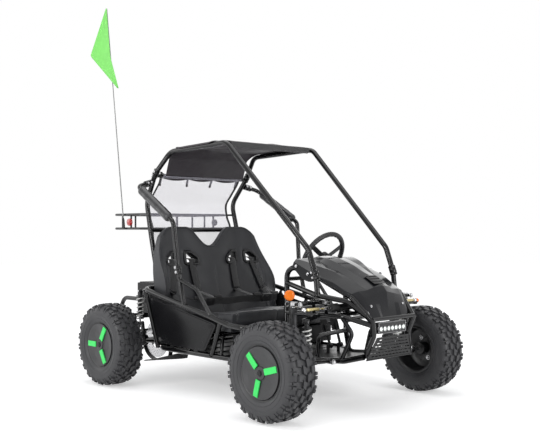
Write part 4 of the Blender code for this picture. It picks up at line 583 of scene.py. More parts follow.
column_post = block((0.945, WHEEL_HUB[1] - 0.007, 0.545),
    (0.955, WHEEL_HUB[1] + 0.007, column_at[2] - 0.014))
piece("frame_brackets", both(tabs) + [column_ring, column_post], gloss_paint, bevel=0.0008)


def bolt(head_at, axis, radius=0.0075, long=0.02, height=0.006):
    """Hexagon head with a rounded crown on a washer, and its plain shank behind."""
    head = turned(head_at, axis, ((0.0012, radius), (height, radius), (height + 0.0012, radius * 0.8)), 6)
    washer = turned(head_at, axis, ((0, radius * 1.35), (0.0014, radius * 1.35)), 28)
    shank = turned(head_at, axis, ((-long, radius * 0.5), (height + 0.002, radius * 0.5)), 16)
    return [head, washer, shank]


pins = [
    rod(moved(REAR_SHOCK, 0, -0.0285), moved(REAR_SHOCK, 0, 0.014), PIN_R),
    rod(moved(SHOCK, -0.016), moved(SHOCK, 0.012), PIN_R),
    rod((ARM_BACK - 0.012, ARM_INNER_Y, LOWER_Z), (ARM_FRONT + 0.012, ARM_INNER_Y, LOWER_Z), PIN_R),
    rod((TOP_BACK - 0.012, ARM_INNER_Y, UPPER_Z), (TOP_FRONT + 0.012, ARM_INNER_Y, UPPER_Z), PIN_R),
]
for x, y, z in ((ARM_FRONT + 0.0105, ARM_INNER_Y, LOWER_Z), (TOP_FRONT + 0.0105, ARM_INNER_Y, UPPER_Z)):
    pins += bolt((x, y, z), AHEAD, 0.008, 0.01)
piece("frame_pins", both(pins), zinc_plate, slot="bare_steel", bevel=0.0004)

# Roll cage, rear hoop and side bars
# Four bent tubes bolted together at turned sleeve joints, with cross tubes between them. The side bars are
# held by joints of the same kind, and each carries a foam sleeve for the elbow.

ROOF_FRONT = (0.652, 0.283, 1.16)
ROOF_REAR = (0.227, 0.278, 1.145)
ROOF_BAR = (0.64, 0.283, 1.155)
HOOP_TOP = (0.138, 0.304, 1.04)
HOOP_KNEE = (0.038, 0.286, 0.899)
HOOP_WAIST = (0.08, 0.29, 0.735)
BAR_TOP = (0.125, 0.401, 0.973)
BAR_BEND = (0.42, 0.41, 0.797)
HOOP_ARM = (0.108, 0.3, 0.998)
ARM_JOINT = (0.114, 0.332, 0.99)
COLLAR_R = 0.0165
COLLAR_LONG = 0.022
PAD_R, PAD_INSET = 0.0235, 0.03


CAGE_AXIS = unit(CAGE_KNEE, CAGE_FOOT)
POST_AXIS = unit(POST_JOINT, RAIL_SEAT)
CROWN_AXIS = unit(HOOP_TOP, HOOP_KNEE) + unit(ROOF_REAR, HOOP_TOP)
ARM_AXIS = unit(ARM_JOINT, HOOP_ARM)
FOOT_AXIS = unit(HOOP_FOOT, (RAIL_REAR[0], HOOP_FOOT[1], RAIL_REAR[2]))


def collar(point, axis, forward):
    """Half of a turned sleeve joint with a rounded rim and a shallow groove."""
    long, r = COLLAR_LONG, COLLAR_R
    profile = ((0.0003, r - 0.0015), (0.001, r), (long * 0.4, r), (long * 0.45, r - 0.0008),
        (long * 0.55, r - 0.0008), (long * 0.6, r), (long - 0.002, r), (long, r - 0.003))
    return turned(point, np.array(axis) * forward, profile, 32)


def short(point, axis, forward):
    """End of a tube that stops half a collar away from its joint."""
    return tuple(np.array(point) + unit(axis) * forward * COLLAR_LONG / 2)


cage = both([
    tube([short(CAGE_FOOT, CAGE_AXIS, 1), CAGE_KNEE, ROOF_FRONT, ROOF_REAR, short(HOOP_TOP, CROWN_AXIS, 1)],
        bend=0.07),
    collar(CAGE_FOOT, CAGE_AXIS, 1),
    collar(HOOP_TOP, CROWN_AXIS, 1),
])
cage.append(tube(across_middle([ROOF_BAR]), BRACE_R))
piece("roll_cage_tubes", cage, gloss_paint, replaces=["roll_cage"])

hoop_bar = (0.131, 0.302, 1.03)
belt_bar = moved(HOOP_WAIST, -0.003, 0, 0.024)
SEAT_TAB_Y = 0.17
seat_tab = block((belt_bar[0], SEAT_TAB_Y - 0.015, belt_bar[2] - 0.003),
    (0.15, SEAT_TAB_Y + 0.015, belt_bar[2] + 0.003))
hoop = both([
    tube([short(HOOP_TOP, CROWN_AXIS, -1), HOOP_KNEE, HOOP_WAIST, short(HOOP_FOOT, FOOT_AXIS, 1)], bend=0.08),
    collar(HOOP_TOP, CROWN_AXIS, -1),
    collar(HOOP_FOOT, FOOT_AXIS, 1),
    rod(HOOP_ARM, ARM_JOINT, THIN_R),
    collar(ARM_JOINT, ARM_AXIS, -1),
    seat_tab,
])
hoop += [tube(across_middle([hoop_bar]), THIN_R), tube(across_middle([belt_bar]), BRACE_R)]
piece("rear_hoop_tubes", hoop, gloss_paint, replaces=["rear_hoop"])
piece("foot_collars", both([collar(CAGE_FOOT, CAGE_AXIS, -1), collar(POST_JOINT, POST_AXIS, -1),
    collar(HOOP_FOOT, FOOT_AXIS, -1)]), gloss_paint)

sleeve_foam = finish("elbow_sleeve_vinyl", (0.016, 0.016, 0.018), 0.34, shade=0.75, mottle=30.0,
    spread=0.08, grain=800.0, bump=0.25, relief=0.0004,
    sockets={"Coat Weight": 0.15, "Coat Roughness": 0.3})
bar = [
    tube([short(ARM_JOINT, ARM_AXIS, 1), BAR_TOP, BAR_BEND, short(POST_JOINT, POST_AXIS, 1)],
        BRACE_R, 0.035),
    collar(ARM_JOINT, ARM_AXIS, 1),
    collar(POST_JOINT, POST_AXIS, 1),
]
along = unit(BAR_BEND, BAR_TOP)
pad_long = float(np.linalg.norm(np.subtract(BAR_BEND, BAR_TOP))) - 2 * PAD_INSET
stations = np.linspace(0, 1, 40)
swell = PAD_R - 0.0012 + 0.0006 * np.sin(stations * 31) * np.sin(stations * 7)
swell[[0, -1]] = 0.013
swell[[1, -2]] = PAD_R - 0.004
pad = [turned(np.array(BAR_TOP) + along * PAD_INSET, along,
    np.stack([stations * pad_long, swell], axis=1), 36)]
for hand in ("left", "right"):
    piece("side_bar_" + hand + "_tube", handed(bar, hand), gloss_paint, replaces=["side_bar_" + hand])
    piece("side_bar_" + hand + "_sleeve", handed(pad, hand), sleeve_foam)

joint_bolts = []
for spot, axis, outward in ((CAGE_FOOT, CAGE_AXIS, (-0.55, 0.8, 0)), (POST_JOINT, POST_AXIS, LEFT),
        (HOOP_FOOT, FOOT_AXIS, LEFT), (ARM_JOINT, ARM_AXIS, (1, 0, 0.3)), (HOOP_TOP, CROWN_AXIS, LEFT)):
    axis = unit(axis)
    outward = unit(outward - axis * float(np.dot(outward, axis)))
    for shift in (-0.011, 0.011):
        joint_bolts += bolt(np.array(spot) + axis * shift + outward * (COLLAR_R - 0.0006), outward, 0.0052,
            0.004, 0.004)
piece("joint_bolts", both(joint_bolts), zinc_plate, slot="bare_steel", bevel=0.0003)

# Carrier and reflectors
# Welded basket of 13 mm bent tube and 10 mm uprights, hooked on the rear hoop, with a reflector on each side.

CRATE_FRONT, CRATE_REAR = 0.004, -0.271
CRATE_HALF = 0.277
CRATE_TOP_Z, CRATE_LOW_Z = 0.84, 0.767
CRATE_ROD = 0.0065
LENS_AT = (-0.113, CRATE_HALF, 0.8)

basket = []
for z in (CRATE_TOP_Z, CRATE_LOW_Z):
    ring = [(CRATE_FRONT, CRATE_HALF - 0.1), (CRATE_FRONT, CRATE_HALF), (CRATE_REAR, CRATE_HALF)]
    ring = ring + [(x, -y) for x, y in reversed(ring)]
    basket.append(tube([(x, y, z) for x, y in ring], CRATE_ROD, 0.03))
    basket.append(rod((CRATE_FRONT, CRATE_HALF - 0.09, z), (CRATE_FRONT, 0.09 - CRATE_HALF, z),
        CRATE_ROD * 0.9))
uprights = [(CRATE_FRONT, y) for y in (-0.067, 0.034, 0.18)] + [(CRATE_REAR, y) for y in (-0.14, 0.14)]
uprights += [(x, y) for x in (-0.19, LENS_AT[0]) for y in (-CRATE_HALF, CRATE_HALF)]
for x, y in uprights:
    basket.append(rod((x, y, CRATE_LOW_Z), (x, y, CRATE_TOP_Z), 0.005, 16))
basket.append(rod((-0.15, -CRATE_HALF, CRATE_LOW_Z), (-0.15, CRATE_HALF, CRATE_LOW_Z), 0.005, 16))
for z in (CRATE_TOP_Z, CRATE_LOW_Z):
    mix = (z - HOOP_WAIST[2]) / (HOOP_KNEE[2] - HOOP_WAIST[2])
    hoop_x = HOOP_WAIST[0] + (HOOP_KNEE[0] - HOOP_WAIST[0]) * mix
    basket += both([block((CRATE_FRONT - 0.03, CRATE_HALF - 0.004, z - 0.005),
        (hoop_x - 0.0137, CRATE_HALF + 0.009, z + 0.005))])
piece("carrier_basket", basket, gloss_paint, replaces=["cargo_rack"])

lens_red = finish("red_reflector", (0.42, 0.012, 0.01), 0.12, shade=0.85, grain=260.0, bump=0.5,
    relief=0.0012, sockets={"Coat Weight": 1.0, "Coat Roughness": 0.03})
LENS_PROFILE = ((0.0, 0.0185), (0.009, 0.019), (0.0125, 0.0175), (0.0142, 0.013), (0.015, 0.0065),
    (0.0152, 0.0005))
piece("reflector_red", [turned(moved(LENS_AT, 0, -2 * LENS_AT[1] - 0.004), (0, -1, 0), LENS_PROFILE, 40)],
    lens_red, slot="amber_plastic")
piece("reflector_back", [turned(moved(LENS_AT, 0, 0.004), LEFT, LENS_PROFILE, 40)], satin_paint)

# Cloth roof
# Coated black cloth, cut as one panel, stretched from the front bar over the side tubes and dropped behind
# the rear bends. Its sides are folded round the tubes, the front has a stitched hem band and straps hold it.

CLOTH_HALF, CLOTH_THICK = 0.258, 0.0014
COVER, HEM_R = 0.0165, 0.0147
ROOF_FLAT = 0.9


def weave(name, colour, threads, roughness=0.75, bump=0.35, sheen=0.4, mottle=5.0, shade=0.6):
    """Plain weave: two crossed sine waves multiplied into bump, over a slow drift of the cloth's tone."""
    look = finish(name, colour, roughness, shade=shade, mottle=mottle, spread=0.08, grain=900.0, bump=0.15,
        sockets={"Sheen Weight": sheen, "Sheen Roughness": 0.45})
    tree = look.node_tree
    where = add_node(tree, "TexCoord").outputs["Object"]
    cross = add_node(tree, "Math", operation="MULTIPLY")
    for k, direction in enumerate("XY"):
        wave = add_node(tree, "TexWave", {"Scale": threads, "Distortion": 0.6}, bands_direction=direction)
        join(tree, (where, wave.inputs["Vector"]), (wave.outputs["Fac"], cross.inputs[k]))
    raised = add_node(tree, "Bump", {"Strength": bump, "Distance": 0.0005})
    join(tree, (cross.outputs[0], raised.inputs["Height"]),
        (tree.nodes["Bump"].outputs[0], raised.inputs["Normal"]),
        (raised.outputs[0], tree.nodes["Principled BSDF"].inputs["Normal"]))
    return look


def smooth_rows(stations, count):
    """Catmull-Rom curve through the stations, sampled evenly in station number."""
    stations = np.array(stations, dtype=float)
    padded = np.concatenate([2 * stations[:1] - stations[1:2], stations,
        2 * stations[-1:] - stations[-2:-1]])
    s = np.linspace(0, len(stations) - 1, count)
    k = np.minimum(s.astype(int), len(stations) - 2)
    t = (s - k).reshape((-1,) + (1,) * (stations.ndim - 1))
    p0, p1, p2, p3 = padded[k], padded[k + 1], padded[k + 2], padded[k + 3]
    return 0.5 * (2 * p1 + (p2 - p0) * t + (2 * p0 - 5 * p1 + 4 * p2 - p3) * t ** 2
        + (3 * p1 - p0 - 3 * p2 + p3) * t ** 3)


def sheet_mesh(grid):
    """Open quad sheet over a grid of points, rows by columns by xyz."""
    rows, cols = grid.shape[:2]
    a = np.arange(rows - 1)[:, None] * cols + np.arange(cols - 1)[None, :]
    faces = np.stack([a, a + 1, a + cols + 1, a + cols], axis=2).reshape(-1, 4)
    return grid.reshape(-1, 3), faces.tolist()


def cloth_piece(name, grid, thick, look, slot, node):
    """Sheet of cloth or vinyl with its thickness, held by the pieces that it rests on."""
    item = piece(name, [sheet_mesh(grid)], look, "chassis", slot, [node], angle=80)
    thickened(item, thick)


roof_u = np.linspace(-1, 1, 61)
front, rear, bar = np.array(ROOF_FRONT), np.array(ROOF_REAR), np.array(ROOF_BAR)
hem_rows = [(bar[0] + HEM_R * math.cos(a), bar[2] + HEM_R * math.sin(a))
    for a in map(math.radians, (-120, -75, -25, 35, 95))]


def roof_row(x, z, tube_y, wrap=None, sag=0.0, ripple=0.0):
    """Cloth from side to side at one station, its edges turned down round the side tubes by wrap."""
    inner = np.abs(roof_u) <= ROOF_FLAT
    middle = 1 - (roof_u / ROOF_FLAT) ** 2
    share = np.clip((np.abs(roof_u) - ROOF_FLAT) / (1 - ROOF_FLAT), 0, 1)
    if wrap is None:
        height, edge_y, edge_z = z - sag * middle, CLOTH_HALF * 0.97 + 0.008 * share, z
    else:
        a = np.radians(130 + share * 20 - wrap * (60 + 75 * share))
        height, edge_y, edge_z = z + COVER - sag * middle, tube_y + COVER * np.cos(a), z + COVER * np.sin(a)
    y = np.where(inner, roof_u / ROOF_FLAT * CLOTH_HALF * 0.97, np.sign(roof_u) * edge_y)
    return np.stack([np.full_like(y, x), y, np.where(inner, height + ripple * middle, edge_z)], axis=1)


rows = [roof_row(x, z, front[1]) for x, z in hem_rows]
for k, t in enumerate(np.linspace(0.12, 0.95, 12)):
    spot = front + (rear - front) * t
    wrap = float(np.clip(min((t - 0.12) / 0.1, (0.95 - t) / 0.11), 0, 1))
    ripple = 0.004 * np.sin(9.7 * roof_u + 1.7 * k) + 0.0025 * np.sin(4.1 * roof_u - 0.9 * k)
    rows.append(roof_row(spot[0], spot[2], spot[1], wrap, 0.008 * math.sin(math.pi * t), ripple))
for k, (x, z) in enumerate(((0.196, 1.128), (0.186, 1.105), (0.177, 1.081), (0.168, 1.056), (0.16, 1.03))):
    rows.append(roof_row(x, z, rear[1]))
    rows[-1][:, 0] += 0.0045 * np.sin(8.3 * roof_u + 0.8 * k) * (1 - (roof_u / 1.02) ** 2)
roof_grid = smooth_rows(np.array(rows), 110) + REAR_AXLE
roof_cloth = weave("roof_cloth", (0.0138, 0.0092, 0.0142), 260.0, roughness=0.58, bump=0.4, sheen=0.12)
cloth_piece("roof_cloth", roof_grid, CLOTH_THICK, roof_cloth, "roof_cloth",
    "canopy")


def band(line, width, thick, across):
    """Flat webbing: a thin rounded oblong carried along a line, its width kept along the given direction."""
    line = np.array(line)
    side, up = carried(line, np.array(across, dtype=float))
    w, t = width / 2, thick / 2
    outline = np.array([(w, 0), (w * 0.97, t), (0, t), (-w * 0.97, t), (-w, 0), (-w * 0.97, -t), (0, -t),
        (w * 0.97, -t)])
    rings = line[:, None] + side[:, None] * outline[None, :, :1] + up[:, None] * outline[None, :, 1:]
    return skin(rings)


webbing = weave("black_webbing", (0.011, 0.011, 0.012), 620.0, roughness=0.6, bump=0.6, sheen=0.3)
hem_line = smooth_rows([at(ROOF_BAR[0] + 0.0165, y, ROOF_BAR[2] - 0.001 + 0.0012 * math.sin(9 * y))
    for y in np.linspace(-0.255, 0.255, 15)], 60)
piece("roof_front_hem", [band(hem_line, 0.024, 0.0022, UP)], webbing, slot="roof_cloth", angle=60)
valance = []
for y0, y1 in ((-0.25, -0.085), (-0.085, 0.085), (0.085, 0.25)):
    s = np.linspace(0, 1, 16)
    drop = 0.011 * np.sin(math.pi * s) ** 0.8
    top = at(*hoop_bar)
    line = np.stack([np.full_like(s, top[0] - 0.0125), y0 + (y1 - y0) * s, top[2] + 0.004 - drop], axis=1)
    valance.append(band(line, 0.026, 0.0022, UP))
piece("roof_rear_valance", valance, roof_cloth, slot="roof_cloth", angle=70)
straps = []
for y, lean in ((-0.252, 0.0), (-0.085, 0.006), (0.085, -0.012), (0.25, 0.0)):
    s = np.linspace(0, 1, 9)[:, None]
    top = at(hoop_bar[0] - 0.016, y, hoop_bar[2] + 0.022)
    low = at(hoop_bar[0] - 0.028, y + lean, hoop_bar[2] - 0.048)
    sway = np.concatenate([0.003 * np.sin(s * 5), 0 * s, 0 * s], axis=1)
    straps.append(band(top + (low - top) * s + sway, 0.013, 0.002, LEFT))
piece("roof_straps", straps, webbing, slot="roof_cloth", angle=60)

# Rear window
# Clear flexible vinyl sewn below the roof, hung over the hoop's cross tube and down behind the seat.

window_rows = [(0.133 + 0.0115 * math.cos(a), 1.03 + 0.0115 * math.sin(a))
    for a in np.linspace(-1.2, 2.9, 9)]
window_rows += [(0.108, 1.0), (0.06, 0.945), (0.02, 0.895), (0.026, 0.83), (0.05, 0.775), (0.055, 0.7),
    (0.075, 0.62)]
window_u = np.linspace(-1, 1, 41)
rows = []
for i, (x, z) in enumerate(window_rows):
    free = max(0, i - 9) / 6
    wave = 0.003 * free * np.sin(2.6 * window_u * math.pi + i)
    wave = wave + 0.0015 * free * np.sin(7.1 * window_u + 2 * i)
    half = 0.258 if i > 8 else 0.262
    rows.append(np.stack([x + wave, window_u * half, np.full_like(window_u, z)], axis=1))
window_grid = smooth_rows(np.array(rows), 90) + REAR_AXLE
clear_vinyl = bpy.data.materials.new("clear_vinyl")
clear_vinyl.use_nodes = True
tree = clear_vinyl.node_tree
shader = tree.nodes["Principled BSDF"]
for name, value in (("Base Color", (0.72, 0.7, 0.8, 1)), ("Roughness", 0.12), ("IOR", 1.45),
        ("Alpha", 0.2)):
    shader.inputs[name].default_value = value
ripples = add_node(tree, "TexNoise", {"Scale": 9.0, "Detail": 2.0})
raised = add_node(tree, "Bump", {"Strength": 0.25, "Distance": 0.004})
join(tree, (add_node(tree, "TexCoord").outputs["Object"], ripples.inputs["Vector"]),
    (ripples.outputs[0], raised.inputs["Height"]), (raised.outputs[0], shader.inputs["Normal"]))
cloth_piece("window_vinyl", window_grid, 0.0008, clear_vinyl, "clear_sheet",
    "rear_window")
edge_lines = [band(window_grid[18:, k], 0.012, 0.0024, LEFT) for k in (0, 40)]
piece("window_edge_binding", edge_lines, webbing, slot="roof_cloth", angle=60)

# Flag and pole
# Grey glass-fibre whip in a rubber socket on the carrier, with a triangular pennant of green nylon hung from
# its tip along the upper part of the whip.

POLE_FOOT = (-0.16, -0.2892, 0.767)
POLE_TIP = (-0.325, -0.2892, 1.953)
FLAG_DROP = 0.44
FLAG_REACH = 0.1
FLAG_FOLD = 0.6
pole_axis = unit(POLE_TIP, POLE_FOOT)
pole_long = float(np.linalg.norm(np.subtract(POLE_TIP, POLE_FOOT)))
fibre = finish("grey_glass_fibre", (0.22, 0.22, 0.215), 0.35, shade=0.9, mottle=40.0,
    sockets={"Coat Weight": 0.3})
piece("whip_pole", [turned(POLE_FOOT, pole_axis, ((0.03, 0.0031), (pole_long * 0.5, 0.0027),
    (pole_long - 0.004, 0.0021), (pole_long, 0.0012)), 20)], fibre, slot="pole_fibre",
    replaces=["flag_pole"])
boot = finish("black_rubber_boot", (0.012, 0.012, 0.012), 0.6, mottle=50.0)
piece("whip_socket", [turned(POLE_FOOT, pole_axis, ((0, 0.0052), (0.002, 0.006), (0.045, 0.006),
    (0.049, 0.0052), (0.056, 0.0037)), 28)], boot)
flag_away = np.array((-0.69, -0.72, 0))
flag_side = np.array((0.72, -0.69, 0))
rows = []
for t in np.linspace(0, 1, 40):
    over = max(0.0, t - FLAG_FOLD) / (1 - FLAG_FOLD)
    hoist = np.array(POLE_TIP) - pole_axis * (0.004 + FLAG_DROP * t) - flag_away * 0.03 * over
    reach = FLAG_REACH * min(t / FLAG_FOLD, (1 - t) / (1 - FLAG_FOLD)) + 0.006
    u = np.linspace(0, 1, 16)[:, None]
    rows.append(hoist + flag_away * reach * u + flag_side * (0.007 + 0.0045 * np.sin(4 * t + 5 * u)))
flag_grid = np.array(rows) + REAR_AXLE
nylon = weave("green_nylon", (0.2, 0.66, 0.13), 900.0, roughness=0.55, bump=0.15, sheen=0.3,
    mottle=3.0, shade=0.88)
flag_item = piece("pennant", [sheet_mesh(flag_grid)], nylon, slot="flag_cloth", replaces=["flag"], angle=80)
thickened(flag_item, 0.0007)

# Seat back and cushion
# Foam on a steel pan under charcoal leatherette: two bucket shapes side by side, each with two belt slots in
# a raised surround, and welts along the edges. Thin sheets close the pan in front and below the seat back.

SEAT_LOW, SEAT_HALF = 0.33, 0.366
LOBE_Y, LOBE_Z, VALLEY_Z = 0.19, 0.776, 0.68
SLOT_Y, SLOT_OFFSET, SLOT_Z = 0.198, 0.062, 0.617
WELT_EDGE = 0.985
SLOT_EDGE = np.array(((-0.034, -0.021), (0.029, -0.021), (0.029, 0.027), (0.004, 0.027), (-0.034, -0.002)))
CUSHION_REAR, CUSHION_FRONT, CUSHION_HALF = 0.385, 0.76, 0.36

leatherette = finish("charcoal_leatherette", (0.0165, 0.0172, 0.0205), 0.4, shade=0.85, mottle=5.0,
    spread=0.06, grain=1300.0, bump=0.3, relief=0.0004,
    sockets={"Sheen Weight": 0.05, "Specular IOR Level": 0.4})


def seat_top(y):
    """Upper edge: a sine-squared rise from the valley to each crown, then a fall at the outer shoulder."""
    y = np.abs(y)
    rise = np.clip((y - 0.012) / 0.13, 0, 1)
    inner = VALLEY_Z + (LOBE_Z - VALLEY_Z) * np.sin(math.pi / 2 * rise) ** 2
    return inner - 0.048 * (np.maximum(y - 0.225, 0) / 0.085) ** 2.2


def seat_surface(u, v, back):
    """Front or rear skin of the seat back; u runs across, v from the bottom edge to the top."""
    y = u * SEAT_HALF * (1 - 0.15 * v ** 3)
    z = SEAT_LOW + v * (seat_top(u * SEAT_HALF * 0.85) - SEAT_LOW)
    lean = 0.192 + 0.55 * (LOBE_Z - z) ** 2
    rim = np.maximum(np.abs(u) ** 8, v ** 14)
    bolster = 0.058 * np.abs(u) ** 6 * np.exp(-((v - 0.45) / 0.28) ** 2)
    cup = 0.013 * np.cos(math.pi * np.minimum(1.0, np.abs(np.abs(y) - LOBE_Y) / LOBE_Y))
    x = lean - 0.044 + 0.012 * rim if back else lean + bolster - cup - 0.012 * rim + 0.008 * (1 - v)
    return np.stack([x, y, z], axis=-1)


def slot_distance(y, z):
    """Distance outside the nearest belt slot, from the lines of its five edges."""
    nearest = np.full_like(y, 9.0)
    for offset in (-SLOT_OFFSET, SLOT_OFFSET):
        inward = -math.copysign(1, offset) * (np.abs(y) - SLOT_Y - offset)
        apart = np.full_like(y, -9.0)
        for start, end in zip(SLOT_EDGE, np.roll(SLOT_EDGE, -1, axis=0)):
            run = unit(end, start)
            apart = np.maximum(apart, (inward - start[0]) * run[1] - (z - SLOT_Z - start[1]) * run[0])
        nearest = np.minimum(nearest, apart)
    return nearest


def seat_front(u, v):
    """Front skin with a soft crease along each wing, light wrinkles and the swell round the slots."""
    spot = seat_surface(u, v, False)
    y, z = spot[..., 1], spot[..., 2]
    wing = np.abs(y) - 0.318 + 0.05 * np.clip((z - 0.5) / 0.2, -0.4, 1) ** 2
    groove = 0.0035 * np.exp(-(wing / 0.005) ** 2) * np.clip((0.67 - z) / 0.06, 0, 1)
    groove = groove + 0.003 * np.exp(-(y / 0.007) ** 2) * np.clip((0.64 - z) / 0.08, 0, 1)
    wrinkle = 0.0008 * np.sin(31 * y + 5 * np.sin(11 * z)) * np.sin(23 * z + 2)
    crease = 0.0016 * np.exp(-((z - 0.4 - 0.03 * np.sin(9 * y)) / 0.012) ** 2) * np.sin(14 * y) ** 2
    apart = slot_distance(y, z)
    swell = 0.004 * np.exp(-(np.maximum(apart, 0) / 0.016) ** 2)
    spot[..., 0] += wrinkle + swell - crease - groove * (apart > 0.012)
    return spot


def on_seat(y, z):
    """Forward reach of the seat back's front skin at a place on it."""
    y, z = np.array(y, dtype=float), np.array(z, dtype=float)
    v = (z - SEAT_LOW) / (seat_top(y) - SEAT_LOW)
    return seat_surface(y / (SEAT_HALF * (1 - 0.15 * v ** 3)), v, False)[..., 0]


def closed_pair(front, back):
    """Closed solid between two equal grids, rows by columns by xyz."""
    rows, cols = front.shape[:2]
    size = rows * cols
    a = (np.arange(rows - 1)[:, None] * cols + np.arange(cols - 1)[None, :]).reshape(-1)
    quads = np.stack([a, a + 1, a + cols + 1, a + cols], axis=1)
    rim = np.concatenate([np.arange(cols), np.arange(1, rows) * cols + cols - 1,
        (rows - 1) * cols + np.arange(cols - 2, -1, -1), np.arange(rows - 2, 0, -1) * cols])
    step = np.roll(rim, -1)
    edge = np.stack([rim, size + rim, size + step, step], axis=1)
    faces = np.concatenate([quads, size + quads[:, ::-1], edge])
    return np.concatenate([front.reshape(-1, 3), back.reshape(-1, 3)]), faces.tolist()


def eased(count, strength=0.6):
    """Stations from 0 to 1 gathered toward both ends."""
    s = np.linspace(0, 1, count)
    return s * (1 - strength) + strength * (1 - np.cos(math.pi * s)) / 2


fine = 1
across_u, up_v = np.meshgrid(eased(281 // fine) * 2 - 1, eased(150 // fine, 0.4))
seat_skin = closed_pair(seat_front(across_u, up_v) + REAR_AXLE,
    seat_surface(across_u, up_v, True) + REAR_AXLE)
seat_back = piece("seat_back_cover", [seat_skin], leatherette, slot="seat_vinyl",
    replaces=["seat_back"], angle=75)


def bore_through(item, cutters, angle=38):
    """Take the cutters' solids out of a piece, and smooth what is left across shallow edges."""
    cutter = piece("cutter", cutters, item.data.materials[0], item["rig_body"], item["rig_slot"])
    cut = item.modifiers.new("bores", "BOOLEAN")
    cut.operation, cut.solver, cut.object = "DIFFERENCE", "EXACT", cutter
    cut_mesh = bpy.data.meshes.new_from_object(item.evaluated_get(bpy.context.evaluated_depsgraph_get()))
    item.modifiers.clear()
    item.data = cut_mesh
    shell = bmesh.new()
    shell.from_mesh(cut_mesh)
    bmesh.ops.dissolve_degenerate(shell, dist=1e-6, edges=shell.edges)
    bmesh.ops.recalc_face_normals(shell, faces=shell.faces)
    shell.to_mesh(cut_mesh)
    shell.free()
    smoothed(cut_mesh, angle)
    bpy.data.objects.remove(cutter)


def rounded(points, corner, count):
    """Closed outline whose corners are drawn as short curves of count points each."""
    ring = []
    for before, here, after in zip(np.roll(points, 1, axis=0), points, np.roll(points, -1, axis=0)):
        back, ahead = unit(before, here) * corner, unit(after, here) * corner
        ring += [here + back * (1 - t) ** 2 + ahead * t ** 2 for t in np.linspace(0, 1, count)]
    return np.array(ring)


cutters, bezels = [], []
for side in (-1, 1):
    for offset in (-SLOT_OFFSET, SLOT_OFFSET):
        inward = -math.copysign(1, offset) * side
        edge = SLOT_EDGE * (inward, 1)
        edge = edge if inward > 0 else edge[::-1]
        cutters.append(prism(edge * 1.06, (0.24, side * (SLOT_Y + offset), SLOT_Z), LEFT, UP, 0.3))
        ring = rounded(edge, 0.006, 6)
        out = (np.roll(ring, -1, axis=0) - np.roll(ring, 1, axis=0))[:, ::-1] * (1, -1)
        out = out / np.linalg.norm(out, axis=1)[:, None]
        loops = []
        for reach, lift in ((-0.001, -0.02), (-0.001, 0.004), (0.001, 0.0085), (0.006, 0.0102),
                (0.0115, 0.0082), (0.014, 0.0025), (0.014, -0.004)):
            flat = ring + out * reach
            y, z = side * (SLOT_Y + offset) + flat[:, 0], SLOT_Z + flat[:, 1]
            loops.append(np.stack([on_seat(y, z) + 0.003 + lift, y, z], axis=1) + REAR_AXLE)
        bezels.append(skin(np.array(loops)[::-1], True))
bore_through(seat_back, cutters, 50)
slot_plastic = finish("slot_plastic", (0.0085, 0.0085, 0.0095), 0.34, mottle=30.0, bump=0.12,
    sockets={"Specular IOR Level": 0.35})
piece("belt_slot_bezels", bezels, slot_plastic, slot="seat_vinyl", angle=50)


def welt(surface, across, along, count):
    """Round piping sewn up one side of a padded surface, over its far edge and down its other side."""
    near, far = np.full_like(along, -WELT_EDGE), np.full_like(across, WELT_EDGE)
    path = np.concatenate([surface(near, along), surface(across, far),
        surface(-near, along[::-1])]) + REAR_AXLE
    return skin(hoops(smooth_rows(path[::2], count), 0.0028, 10))


seat_welt = welt(seat_front, np.linspace(-1, 1, 120)[3:-3] * WELT_EDGE,
    np.linspace(0.01, WELT_EDGE, 60), 240)
piece("seat_back_welt", [seat_welt], leatherette, slot="seat_vinyl", angle=80)


def cushion_top(x, y):
    """Height of the cushion: it rises to the front, with a cosine dish under each rider and raised sides."""
    t = (x - CUSHION_REAR) / (CUSHION_FRONT - CUSHION_REAR)
    dish = 0.012 * np.cos(math.pi * (np.abs(y) - LOBE_Y) / LOBE_Y)
    side = 0.018 * (np.abs(y) / CUSHION_HALF) ** 6
    return 0.352 + 0.045 * t - dish * np.sin(math.pi * t) + side * (1 - t)


def cushion_skin(u, t, lower=False):
    """Top or underside of the cushion; u runs across, t from the seat back to the front edge."""
    x = CUSHION_REAR + (CUSHION_FRONT - CUSHION_REAR) * t
    y = u * CUSHION_HALF * (1 - 0.05 * t ** 2)
    rim = np.maximum(np.abs(u) ** 10, np.abs(2 * t - 1) ** 10)
    if lower:
        return np.stack([x - 0.012 * t ** 4, y, CUSHION_LOW + 0.01 * rim], axis=-1)
    z = cushion_top(x, y) - 0.014 * rim
    seam_side = np.abs(np.abs(y) - LOBE_Y) - 0.122
    seam_cross = t - 0.74 + 1.6 * (np.abs(y) - LOBE_Y) ** 2
    groove = np.exp(-(seam_side / 0.0035) ** 2)
    groove = groove + np.where(seam_side < 0, np.exp(-(seam_cross / 0.011) ** 2), 0)
    groove = groove + np.exp(-(y / 0.0035) ** 2)
    puff = 0.005 * np.clip(-seam_side / 0.04, 0, 1) * np.clip(np.abs(seam_cross) / 0.16, 0, 1)
    wrinkle = 0.0008 * np.sin(70 * x + 6 * np.sin(21 * y)) * np.sin(50 * y + 1)
    return np.stack([x, y, z + puff + wrinkle - 0.005 * groove], axis=-1)


